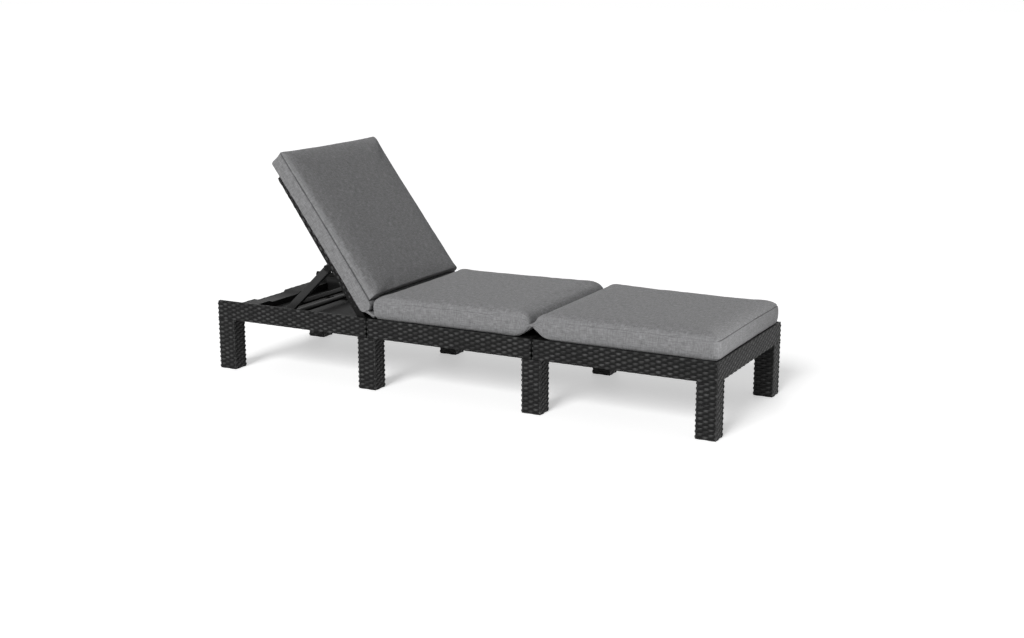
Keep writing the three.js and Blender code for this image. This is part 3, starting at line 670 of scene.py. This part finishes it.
class PadEnd:
    """How a pad section ends: its upright corners, its top edge's roll, and how it meets its neighbour."""

    def __init__(self, corner=18, edge=14, lift=0, lift_reach=60, dip=0, dip_reach=24, lean=0, lean_reach=60):
        self.corner, self.edge = corner * MM, edge * MM
        # The bottom seam rises by lift and the top one falls by dip, towards a neck
        self.lift, self.lift_reach = lift * MM, lift_reach * MM
        self.dip, self.dip_reach = dip * MM, dip_reach * MM
        # The top edge stands back by lean
        self.lean, self.lean_reach = lean * MM, lean_reach * MM


def growing(way, half, reach):
    """0 until a reach before the end at half, and from there up to 1 at the end."""
    return np.clip((way - half + reach) / reach, 0, 1)


def falling(way, half, roll):
    """Nearly 1 away from the end at half, and 0 at the end. roll says how wide the fall is."""
    return 1 - np.exp((way - half) / roll)


def spaced(half, settings):
    """Places from -half to half, closer together beside the seams."""
    near_seam = np.cumsum([0, 2.2, 3.0, 4.2, 5.6, 7.2]) * MM
    inner = half - near_seam[-1]
    middle = np.linspace(-inner, inner, 2 * round(inner / settings.grid) + 1)
    return np.concatenate([near_seam - half, middle[1:-1], half - near_seam[::-1]])


def clothed(name, points, faces, uvs):
    """A mesh with a UV map in metres of cloth."""
    mesh = bpy.data.meshes.new(name)
    mesh.from_pydata(points, [], faces)
    mesh.uv_layers.new(name="Cloth").data.foreach_set("uv", np.array(uvs, dtype=np.float32).ravel())
    return mesh


class PadForm:
    """The cover of one pad section before it is filled: a top, a side band and an underside in one."""

    # How wide the roll is from the crown down to a long side's seam
    edge = 8 * MM

    def __init__(
        self, x0, x1, half_width, bottom, side, crown, low, high, undercut, sag=0.0, swell=0.0, side_seam=1.0
    ):
        self.x0, self.x1, self.half_width = x0, x1, half_width
        self.half_long = (x1 - x0) / 2
        # Heights of the bottom seam, of the side band over it, and of the crown over the top seam
        self.bottom, self.side, self.crown = bottom, side, crown
        # The crown grows by swell from the middle to the high end, and shrinks as much to the low one
        self.swell = swell
        # The bottom seam is drawn in by undercut, and hangs down by sag along the long sides
        self.low, self.high, self.undercut, self.sag = low, high, undercut, sag
        # How deep and dark the seams along the two long sides are, as a share of those across the ends
        self.side_seam = side_seam

    def place(self, a, b, height, dome, settings):
        """Where grid places go. height is 0 at the bottom seam and 1 at the top one."""
        half_long, half_width = self.half_long, self.half_width
        corner = np.where(a > 0, self.high.corner, self.low.corner)
        x, y = corner_rounded(a, b, half_long, half_width, corner)
        lift, dip, lean, necked = 0, 0, 0, 0
        for end, way in ((self.high, x), (self.low, -x)):
            rise = growing(way, half_long, end.lift_reach) ** 2
            lift = lift + end.lift * rise
            dip = dip + end.dip * growing(way, half_long, end.dip_reach) ** 2
            lean = lean + end.lean * growing(way, half_long, end.lean_reach) ** 2 * height**4
            necked = necked + (rise if end.dip else 0)
        # The band is drawn in at both seams and stands out between them
        inset = self.undercut * np.exp(-height * self.side / (6 * MM))
        inset = inset + 1.8 * MM * np.exp((height - 1) * self.side / (4.5 * MM))
        inset = inset - 1.5 * MM * np.sin(np.pi * height)
        draw_x = (inset + settings.pull * (1 - (y / half_width) ** 2)) * np.abs(x) / half_long
        draw_y = (inset + settings.pull * (1 - (x / half_long) ** 2)) * np.abs(y) / half_width
        draw_x = draw_x * (1 - necked)
        low = self.bottom + lift - self.sag * growing(np.abs(y), half_width, 9 * MM) * (1 - height) ** 6
        seam = self.bottom + self.side - dip
        z = low + (seam - low) * height + (self.crown + self.swell * x / half_long) * dome
        x = x - np.sign(x) * (draw_x + lean)
        y = y - np.sign(y) * draw_y
        return np.stack([x + (self.x0 + self.x1) / 2, y, z], axis=-1)

    def mesh(self, name, settings):
        """The cover's mesh, all quads, with its underside's vertices and those of its two seams."""
        half_long = self.half_long
        a, b = spaced(half_long, settings), spaced(self.half_width, settings)
        n, m = len(a) - 1, len(b) - 1
        grid_a, grid_b = np.meshgrid(a, b, indexing="ij")
        # Heights of the band's rows of points, closer together beside the seams
        near_seam = np.array([0, 2.4, 6.5]) * MM
        middle = np.linspace(13 * MM, self.side - 13 * MM, 5)
        rises = np.concatenate([near_seam, middle, self.side - near_seam[::-1]]) / self.side
        rows = len(rises) - 1
        dome = (
            falling(grid_a, half_long, self.high.edge) * falling(-grid_a, half_long, self.low.edge)
            * falling(np.abs(grid_b), self.half_width, self.edge)
        )
        ring = (
            [(i, 0) for i in range(n)] + [(n, j) for j in range(m)]
            + [(i, m) for i in range(n, 0, -1)] + [(0, j) for j in range(m, 0, -1)]
        )
        around = len(ring)
        ring_a, ring_b = a[[i for i, _ in ring]], b[[j for _, j in ring]]
        flat, band = np.zeros_like(grid_a), np.zeros_like(ring_a)
        layers = [(grid_a, grid_b, flat + 1, dome), (grid_a, grid_b, flat, flat)]
        layers += [(ring_a, ring_b, band + rise, band) for rise in rises[1:-1]]
        points = np.concatenate([self.place(*layer, settings).reshape(-1, 3) for layer in layers])
        size = (n + 1) * (m + 1)
        top_ids = np.array([i * (m + 1) + j for i, j in ring])
        between = [2 * size + row * around + np.arange(around) for row in range(rows - 1)]
        levels = [top_ids + size, *between, top_ids]

        # The underside's cloth lies 2 m beside the top's, and the band's 4 m above it
        under_at, band_at = 2.0, 4
        faces, uvs = [], []
        for i in range(n):
            for j in range(m):
                corners = [(i, j), (i + 1, j), (i + 1, j + 1), (i, j + 1)]
                quad = [p * (m + 1) + q for p, q in corners]
                cloth = [(a[p], b[q]) for p, q in corners]
                faces.extend([quad, [size + k for k in reversed(quad)]])
                uvs.extend(cloth + [(p + under_at, q) for p, q in reversed(cloth)])
        lengths = np.hypot(np.diff(np.append(ring_a, ring_a[0])), np.diff(np.append(ring_b, ring_b[0])))
        run = np.concatenate([[0], np.cumsum(lengths)])
        for row in range(rows):
            below, above = levels[row].tolist(), levels[row + 1].tolist()
            z0, z1 = band_at + self.side * rises[row], band_at + self.side * rises[row + 1]
            for k in range(around):
                after = (k + 1) % around
                faces.append([below[k], below[after], above[after], above[k]])
                uvs.extend([(run[k], z0), (run[k + 1], z0), (run[k + 1], z1), (run[k], z1)])
        mesh = clothed(name, points.tolist(), faces, uvs)
        return mesh, np.arange(size, 2 * size), (top_ids, levels[0])


def triples(items, name):
    """An array of what each item has under the name, which is three numbers."""
    values = np.empty(len(items) * 3)
    items.foreach_get(name, values)
    return values.reshape(-1, 3)


def coordinates(mesh):
    """The mesh's vertex places as an array."""
    return triples(mesh.vertices, "co")


def move_to(mesh, places):
    """Moves the mesh's vertices."""
    mesh.vertices.foreach_set("co", places.ravel())
    mesh.update()


# The cover as cloth: stiff and light, and drawn 2 per cent tighter along its seams
COVER = {
    "quality": 6, "mass": 0.25, "tension_stiffness": 14, "compression_stiffness": 14, "shear_stiffness": 6,
    "bending_stiffness": 0.6, "use_pressure": True, "vertex_group_mass": "held",
    "vertex_group_shrink": "tight", "shrink_min": -0.01, "shrink_max": 0.02,
}
FILLING_FRAMES = 20


def filled(mesh, under_ids, seams, settings):
    """Fills the cover: cloth under pressure, with its underside held and its sewn edges drawn tighter."""
    holder = put("cover", mesh)
    for group, ids in (("held", under_ids), ("tight", np.concatenate(seams))):
        holder.vertex_groups.new(name=group).add(ids.tolist(), 1.0, "REPLACE")
    cloth = holder.modifiers.new("Filling", "CLOTH")
    for name, value in COVER.items():
        setattr(cloth.settings, name, value)
    cloth.settings.uniform_pressure_force = settings.pressure
    cloth.settings.effector_weights.gravity = 0
    cloth.collision_settings.use_collision = False
    cloth.collision_settings.use_self_collision = False
    cloth.point_cache.frame_start = 1
    cloth.point_cache.frame_end = FILLING_FRAMES
    for step in range(1, FILLING_FRAMES + 1):
        bpy.context.scene.frame_set(step)
    before = coordinates(mesh)
    evaluated = holder.evaluated_get(bpy.context.evaluated_depsgraph_get())
    move = coordinates(evaluated.to_mesh()) - before
    evaluated.to_mesh_clear()
    bpy.context.scene.frame_set(1)
    holder.modifiers.clear()
    bpy.data.objects.remove(holder)
    length = np.maximum(np.linalg.norm(move, axis=1, keepdims=True), 1e-9)
    move_to(mesh, before + move * settings.give * np.tanh(length / settings.give) / length)


def sewn(mesh, seams, form, settings):
    """Draws the cloth in along its two sewn edges, smooths the whole cover and marks the seams."""
    places, normals = coordinates(mesh), triples(mesh.vertex_normals, "vector")
    top, bottom = seams
    # Where a neck pinches the side band to a strip, the fold is shallower
    room = np.clip(np.linalg.norm(places[top] - places[bottom], axis=1) / (40 * MM), 0.15, 1)
    marks = np.zeros(len(places), dtype=np.float32)
    for ids in seams:
        pucker = np.array([1 + 0.35 * noise.noise(Vector(places[i]) * 55) for i in ids])
        # 1 along the long sides, 0 across the ends, and between the two near the corners
        at_side = growing(np.abs(places[ids, 1]), form.half_width - 8 * MM, 8 * MM)
        share = 1 - at_side * (1 - form.side_seam)
        places[ids] -= normals[ids] * (settings.seam_depth * pucker * room * (0.5 + 0.5 * share))[:, None]
        marks[ids] = share * pucker
    move_to(mesh, places)
    mesh.attributes.new("seam", "FLOAT", "POINT").data.foreach_set("value", marks)
    holder = put("cover", mesh)
    smooth = holder.modifiers.new("Smooth", "SUBSURF")
    smooth.levels = smooth.render_levels = 1
    return baked(holder)


def rumpled(mesh, pinches):
    """Adds the soft unevenness of foam under cloth, and pleats that fan out from where a seam pinches it."""
    places, normals = coordinates(mesh), triples(mesh.vertex_normals, "vector")
    # In millimetres
    amounts = np.empty(len(places))
    aside = Vector((7, 3, 1))
    reach = 75 * MM
    for i, place in enumerate(places):
        point = Vector(place)
        amounts[i] = 0.9 * noise.noise(point * 9) + 0.35 * noise.noise(point * 34 + aside)
        for pinch in pinches:
            away = point - pinch
            if away.length < reach:
                fade = (1 - away.length / reach) ** 1.5 * min(1, away.length / (10 * MM))
                turn = 9 * math.atan2(away.z, away.x) + 2 * noise.noise(point * 20)
                amounts[i] += 1.5 * fade * math.cos(turn)
    move_to(mesh, places + normals * amounts[:, None] * MM)


def pad_section(node, form, place, body, material, settings, pinches):
    """Builds, fills, sews and places the section of the pad that stands for a CAD node."""
    name = f"{node}_fabric"
    mesh, under_ids, seams = form.mesh(name, settings)
    filled(mesh, under_ids, seams, settings)
    mesh = sewn(mesh, seams, form, settings)
    rumpled(mesh, pinches)
    mesh.transform(place)
    painted(mesh, material).shade_smooth()
    piece = add_piece(name, [mesh], body, "cushion_fabric", node)


def cloth_strip(name, section, reach, material):
    """A closed strip of doubled cloth across the pad. section gives its outline in X and Z at a width."""
    count, ring_step = 120, 3 * MM
    widths = np.linspace(-reach, reach, count + 1)
    rings = [section(y) for y in widths]
    around = len(rings[0])
    points = [(x, y, z) for y, ring in zip(widths, rings) for x, z in ring]
    faces, uvs = [], []
    for i in range(count):
        for k in range(around):
            after = (k + 1) % around
            faces.append([i * around + k, i * around + after, (i + 1) * around + after, (i + 1) * around + k])
            for column, step in ((k, i), (k + 1, i), (k + 1, i + 1), (k, i + 1)):
                uvs.append((column * ring_step, step * 2 * reach / count))
    for end in (list(range(around))[::-1], [count * around + k for k in range(around)]):
        faces.append(end)
        uvs.extend((0.0, 0.0) for _ in end)
    mesh = painted(closed(clothed(name, points, faces, uvs)), material)
    mesh.shade_smooth()
    return mesh


# ---------------------------------------------------------------- operators


class LOUNGER_OT_frame(bpy.types.Operator):
    """Gives the three frame modules their woven faces"""

    bl_idname = "lounger.frame"
    bl_label = "Woven frame"

    def execute(self, context):
        settings = context.scene.lounger.woven
        # The inner faces, the tray among them, are drawn near-black: the resin's own colour with painted shade in
        # it
        plain = plain_resin("Moulded polypropylene, plain faces", settings.shaded_plain_colour, 1.6, 0.55)
        # Each module, and whether its end at the head and its end at the foot show
        modules = {"head_frame": (True, False), "seat_frame": (False, False), "foot_frame": (False, True)}
        for seed, (node, ends) in enumerate(modules.items()):
            low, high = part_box(node)
            bottom, top = low.z + JOINT_GAP, high.z + RIM_OVER
            rows = round((high.z - low.z) / settings.strand_height)
            x0, x1 = low.x - settings.proud * ends[0], high.x + settings.proud * ends[1]
            outlines = [self.side_path(x0, x1, high.y + settings.proud, sign, ends) for sign in (-1, 1)]
            if node == "foot_frame":
                outlines = [outlines[0] + outlines[1]]
            meshes = [drawn_in_core(node, low, high, ends, plain)]
            for i, outline in enumerate(outlines):
                points = filled_in([(x, y, top) for x, y in outline])
                if node == "head_frame":
                    # Its free corners are round on top, by 6 mm over a length of 11 mm
                    points = [
                        (x, y, z - 6 * MM * max(0, 1 - (x - x0) / (11 * MM)) ** 2) for x, y, z in points
                    ]
                meshes.append(woven_wall(settings, points, False, bottom, rows, low.z, 10 * seed + i))
            if node == "head_frame":
                meshes.append(self.head_rail(settings, low, high, bottom))
            add_piece(f"{node}_woven", meshes, "frame", "woven_resin", node)
        for node in nodes_of("woven_resin"):
            if node.startswith("leg_"):
                self.leg(node, settings, plain)
        return {"FINISHED"}

    def side_path(self, x0, x1, half_width, sign, ends):
        """The outline of a module's long side, with a round corner at each end, against the clock from above.

        A corner at a seam, which doesn't show, gets no wraps.
        """
        low, high = [WRAP_STEPS if shows else SMALL_STEPS for shows in ends]
        near, far = x0 + FRAME_CORNER, x1 - FRAME_CORNER
        y = sign * (half_width - FRAME_CORNER)
        if sign < 0:
            return rounded_corner((near, y), 180, count=low) + rounded_corner((far, y), 270, count=high)
        return rounded_corner((far, y), 0, count=high) + rounded_corner((near, y), 90, count=low)

    def head_rail(self, settings, low, high, bottom):
        """The woven face of the low head rail, which dips in the middle for a hand."""
        inner = high.y + settings.proud - FRAME_CORNER - 0.4 * MM
        rows, top = 4, low.z + 32 * MM + RIM_OVER
        dip, ramp, depth = 100 * MM, 18 * MM, 7 * MM
        edge = [(inner, 0), (dip, 0), (dip - ramp, depth), (ramp - dip, depth), (-dip, 0), (-inner, 0)]
        points = filled_in([(low.x - settings.proud, y, top - drop) for y, drop in edge])
        return woven_wall(settings, points, False, bottom, rows, low.z, seed=31)

    def leg(self, node, settings, plain):
        """A leg with a woven face on all four sides."""
        low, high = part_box(node)
        body_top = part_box("head_frame")[0].z - JOINT_GAP
        inset = FRAME_CORNER - settings.proud
        x0, x1, y0, y1 = low.x + inset, high.x - inset, low.y + inset, high.y - inset
        corners = ((x0, y0, 180), (x1, y0, 270), (x1, y1, 0), (x0, y1, 90))
        outline = [point for x, y, start in corners for point in rounded_corner((x, y), start)]
        points = filled_in([(x, y, body_top) for x, y in outline + outline[:1]])[:-1]
        rows = round(body_top / settings.strand_height)
        # The rows count from the rail's underside, so that they go on from the rail's
        start = body_top - rows * settings.strand_height
        seed = 40 + sorted(NODES).index(node)
        skin = woven_wall(settings, points, True, JOINT_GAP, rows, start, seed)
        core = drawn_in_core(node, low, high, (True, True), plain)
        add_piece(f"{node}_woven", [core, skin], "frame", "woven_resin", node)


class LOUNGER_OT_backrest(bpy.types.Operator):
    """Gives the backrest panel soft edges and a woven rim"""

    bl_idname = "lounger.backrest"
    bl_label = "Backrest panel"

    def execute(self, context):
        settings = context.scene.lounger.woven
        # The panel's plain faces take the same near-black, which paints the shade under the panel
        plain = plain_resin("Moulded polypropylene, backrest", settings.shaded_plain_colour, 1.6, 0.55)
        node = "backrest_panel"
        shape = cleaned_copy(node)
        shape.transform(BACK_PLACE.inverted())
        half = max(v.co.y for v in shape.verts)
        head = min(v.co.x for v in shape.verts)
        top = max(v.co.z for v in shape.verts)
        # The core is drawn in at its sides, but for its hinge lugs, and at its head
        depth, hinge_end = 2.8 * MM, -17 * MM
        for vertex in shape.verts:
            if abs(vertex.co.y) > half - TOUCH and vertex.co.x < hinge_end + 1 * MM:
                vertex.co.y -= math.copysign(depth, vertex.co.y)
            if vertex.co.x < head + TOUCH:
                vertex.co.x += depth
        core = soften(painted(mesh_of(shape, "panel_core"), plain), 30)
        r = 4 * MM
        outline = [
            (hinge_end, half), *rounded_corner((head + r, half - r), 90, r, SMALL_STEPS),
            *rounded_corner((head + r, r - half), 180, r, SMALL_STEPS), (hinge_end, -half),
        ]
        # How far down the rim reaches: 2 mm at the head, and further from there on, but no further than what
        # clears the ledge in the head frame when the panel lies flat
        points = [(x, y, max(12 * MM * (x / head - 1) - 2 * MM, -6.3 * MM)) for x, y in filled_in(outline)]
        # A whole number of strands below the top, and below all of the rim
        row_start = top - 10 * settings.strand_height
        rim_top, rows = top - 0.2 * MM, 3
        rim = woven_wall(settings, points, False, rim_top, rows, row_start, seed=71, skin=3.8 * MM)
        for mesh in (core, rim):
            mesh.transform(BACK_PLACE)
        caps = [self.cap(pin, side, plain) for pin in ("prop_pin_near", "prop_pin_far") for side in (-1, 1)]
        add_piece("backrest_panel_woven", [core, rim, *caps], "backrest", "panel_resin", node)
        return {"FINISHED"}

    def cap(self, pin, side, material):
        """A low round cap over one end of a prop pin."""
        low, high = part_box(pin)
        middle = (low + high) / 2
        thick = 1.4 * MM
        shape = bmesh.new()
        bmesh.ops.create_cone(
            shape, segments=24, radius1=6.5 * MM, radius2=5.2 * MM, depth=thick, cap_ends=True,
        )
        shape.transform(Matrix.Rotation(-side * math.radians(90), 4, "X"))
        pin_end = high.y if side > 0 else low.y
        shape.transform(Matrix.Translation((middle.x, pin_end + side * thick / 2, middle.z)))
        return soften(painted(mesh_of(shape, f"{pin}_cap"), material), 30)


class LOUNGER_OT_prop(bpy.types.Operator):
    """Rounds the edges of the prop and its racks"""

    bl_idname = "lounger.prop"
    bl_label = "Prop and racks"

    def execute(self, context):
        settings = context.scene.lounger.woven
        resin = plain_resin("Moulded polypropylene, prop", settings.prop_colour, 1.2, 0.42)
        # The racks take the near-black that paints the shade inside the tray
        dark = plain_resin("Moulded polypropylene, racks", settings.shaded_plain_colour, 1.2, 0.5)
        for node in nodes_of("smooth_resin"):
            on_prop = node.startswith("prop_")
            body, material, radius = ("prop", resin, 1.6 * MM) if on_prop else ("frame", dark, 0.8 * MM)
            holder = put("moulding", mesh_of(cleaned_copy(node), node))
            bevel = holder.modifiers.new("Round edges", "BEVEL")
            bevel.width = radius
            bevel.segments = 3
            bevel.limit_method = "ANGLE"
            bevel.angle_limit = math.radians(40)
            rounded = soften(painted(baked(holder), material), 40)
            add_piece(f"{node}_moulding", [rounded], body, "smooth_resin", node)
        return {"FINISHED"}


class LOUNGER_OT_fastenings(bpy.types.Operator):
    """Gives the pins, screws, bolts and nuts their steel"""

    bl_idname = "lounger.fastenings"
    bl_label = "Fastenings"

    def execute(self, context):
        steel = zinc_steel()
        for node in nodes_of("fastener_steel"):
            for place in NODES[node].material_slots:
                place.material = steel
        return {"FINISHED"}


class LOUNGER_OT_pad(bpy.types.Operator):
    """Makes the three sections of the pad and the necks between them"""

    bl_idname = "lounger.pad"
    bl_label = "Pad"

    def execute(self, context):
        settings = context.scene.lounger.pad
        fabric = melange_fabric(settings)
        seat_low, seat_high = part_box("seat_cushion")
        foot_low, foot_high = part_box("foot_cushion")
        seam = (seat_high.x + foot_low.x) / 2
        half = seat_high.y
        # In the backrest's own directions: the pad's head end, its foot end, and the height of its underside
        back_head, back_foot, back_bottom = -656 * MM, -12 * MM, 14.3 * MM
        seat = PadForm(
            seat_low.x, seam - 1.4 * MM, half, seat_low.z, 64 * MM, 19 * MM, undercut=8 * MM, side_seam=0.35,
            low=PadEnd(corner=10, edge=15, lift=5, lift_reach=16),
            high=PadEnd(corner=5, edge=9, lift=39, dip=14, dip_reach=26),
        )
        foot = PadForm(
            seam + 1.4 * MM, foot_high.x + 7 * MM, half, foot_low.z, 64 * MM, 17 * MM, undercut=8 * MM,
            side_seam=0.35, low=PadEnd(corner=5, edge=9, lift=39, dip=13, dip_reach=18),
            high=PadEnd(corner=24),
        )
        back = PadForm(
            back_head, back_foot, half + 2 * MM, back_bottom, 52 * MM, 23 * MM, undercut=3 * MM, sag=4.5 * MM,
            swell=5 * MM, low=PadEnd(corner=12, edge=8, lean=-13, lean_reach=60),
            high=PadEnd(corner=8, edge=5, lift=20, lift_reach=26, lean=28),
        )
        # Where the necks pinch the pad, and where the back section is tucked in at its foot
        neck_height = seat_low.z + 44.5 * MM
        pinches = [Vector((seam, side * half, neck_height)) for side in (-1, 1)]
        tucks = [Vector((back_foot, side * half, 38 * MM)) for side in (-1, 1)]
        here = Matrix.Identity(4)
        pad_section("seat_cushion", seat, here, "frame", fabric, settings, pinches)
        pad_section("foot_cushion", foot, here, "frame", fabric, settings, pinches)
        pad_section("back_cushion", back, BACK_PLACE, "backrest", fabric, settings, tucks)

        def seat_foot(y):
            """An oval over the seam between the seat and the foot section."""
            thick = 4.5 * MM * (1 + 0.25 * noise.noise(Vector((y * 60, 0, 0))))
            turns = [2 * math.pi * k / 12 for k in range(12)]
            return [(seam + 8 * MM * math.cos(t), neck_height + thick * math.sin(t)) for t in turns]

        strip = cloth_strip("seat_foot_neck", seat_foot, half - 3 * MM, fabric)
        add_piece("seat_foot_neck", [strip], "frame", "cushion_fabric", "cushion_neck")

        # The middle line of the neck between back and seat section, at rest
        start = Vector((-331, 0, 281)) * MM
        end = Vector((-297, 0, 264)) * MM
        across = Vector((start.z - end.z, 0, end.x - start.x)).normalized()

        def back_seat(y):
            """Two folded layers from the foot of the back section down to the heel of the seat section."""
            ring = []
            for side in (1, -1):
                for k in range(9):
                    share = k / 8 if side > 0 else 1 - k / 8
                    crease = 0.25 * noise.noise(Vector((y * 45, share * 3, side)))
                    thick = (5.2 - 1.6 * math.sin(math.pi * share) + 3 * crease) * MM
                    place = start.lerp(end, share) + across * side * thick
                    ring.append((place.x, place.z))
            return ring

        neck = put("back_seat_neck", cloth_strip("back_seat_neck", back_seat, half - 3 * MM, fabric))
        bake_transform(neck)
        return {"FINISHED"}


def emptied(holder):
    """The node tree of a material or world, with no nodes in it."""
    holder.use_nodes = True
    holder.node_tree.nodes.clear()
    return holder.node_tree


def seen(tree):
    """1 for what the camera sees, on its own or in a reflection, and 0 for light that falls on things."""
    path = add(tree, "ShaderNodeLightPath").node.outputs
    return calc(tree, "MAXIMUM", path["Is Camera Ray"], path["Is Glossy Ray"])


class LOUNGER_OT_stage(bpy.types.Operator):
    """Sets up the floor, the light and the camera"""

    bl_idname = "lounger.stage"
    bl_label = "Stage"

    def execute(self, context):
        settings = context.scene.lounger.stage
        scene = context.scene
        scene.view_settings.view_transform = "Standard"

        # Far larger than what the camera sees, so that its edge never shows
        reach = 60
        corners = [(x * reach, y * reach, 0) for x, y in ((-1, -1), (1, -1), (1, 1), (-1, 1))]
        mesh = bpy.data.meshes.new("floor")
        mesh.from_pydata(corners, [], [(0, 1, 2, 3)])
        floor = put("floor", mesh)
        material = bpy.data.materials.new("White studio floor")
        tree = emptied(material)
        lit = add(tree, "ShaderNodeBsdfDiffuse", linear("#e6e6e6"))
        lift = calc(tree, "MULTIPLY", seen(tree), settings.floor_lift)
        glow = add(tree, "ShaderNodeEmission", (1, 1, 1, 1), lift)
        add(tree, "ShaderNodeOutputMaterial", add(tree, "ShaderNodeAddShader", lit, glow))
        mesh.materials.append(material)

        world = bpy.data.worlds.new("White surroundings")
        tree = emptied(world)
        sky = spread(tree, seen(tree), settings.sky, 1.0, start=0.0, end=1.0)
        add(tree, "ShaderNodeOutputWorld", add(tree, "ShaderNodeBackground", (1, 1, 1, 1), sky))
        scene.world = world

        suns = (("Key light", settings.key, (0, -1, 0.65)), ("Back light", settings.back, (-0.5, 1, 0.42)))
        for name, energy, way in suns:
            # As wide as a large softbox, for soft shadows
            light = bpy.data.lights.new(name, "SUN")
            light.energy = energy
            light.angle = math.radians(24)
            sun = put(name, light)
            sun.rotation_euler = Vector(way).to_track_quat("Z", "Y").to_euler()
            sun.visible_glossy = name == "Key light"

        light = bpy.data.lights.new("Foot fill", "AREA")
        light.shape, light.size, light.size_y, light.energy = "RECTANGLE", 0.3, 0.15, settings.foot_fill
        fill = put("Foot fill", light)
        fill.location = (1.68, -0.3, 0.27)
        fill.rotation_euler = (math.radians(90), 0, math.radians(90))
        # It lights the foot cushion only, so that the floor keeps its shadows
        lit_by_fill = bpy.data.collections.new("Lit by the foot fill")
        lit_by_fill.objects.link(bpy.data.objects["foot_cushion_fabric"])
        fill.light_linking.receiver_collection = lit_by_fill

        # As solved from the photograph by least squares, without lens shift
        camera = put("Camera", bpy.data.cameras.new("Camera"))
        camera.location = (2.468, -4.510, 1.418)
        camera.rotation_euler = (math.radians(76.95), 0, math.radians(27.82))
        camera.data.lens = 51.7
        camera.data.sensor_width = 36
        camera.data.clip_end = 200
        scene.camera = camera
        return {"FINISHED"}


class LOUNGER_PT_panel(bpy.types.Panel):
    """Lists the lounger's steps in the 3D view's sidebar"""

    bl_idname = "LOUNGER_PT_panel"
    bl_label = "Lounger"
    bl_space_type = "VIEW_3D"
    bl_region_type = "UI"
    bl_category = "Lounger"

    def draw(self, context):
        for operator in OPERATORS:
            self.layout.operator(operator.bl_idname)


# The stage comes last, because its foot fill lights the foot cushion
OPERATORS = (
    LOUNGER_OT_frame,
    LOUNGER_OT_backrest,
    LOUNGER_OT_prop,
    LOUNGER_OT_fastenings,
    LOUNGER_OT_pad,
    LOUNGER_OT_stage,
)
CLASSES = (WovenSettings, PadSettings, StageSettings, LoungerSettings, *OPERATORS, LOUNGER_PT_panel)


def register():
    for kind in CLASSES:
        bpy.utils.register_class(kind)
    bpy.types.Scene.lounger = PointerProperty(type=LoungerSettings)


def unregister():
    del bpy.types.Scene.lounger
    for kind in reversed(CLASSES):
        bpy.utils.unregister_class(kind)


def main():
    register()
    for operator in OPERATORS:
        space, name = operator.bl_idname.split(".")
        getattr(getattr(bpy.ops, space), name)()


if __name__ == "__main__":
    main()
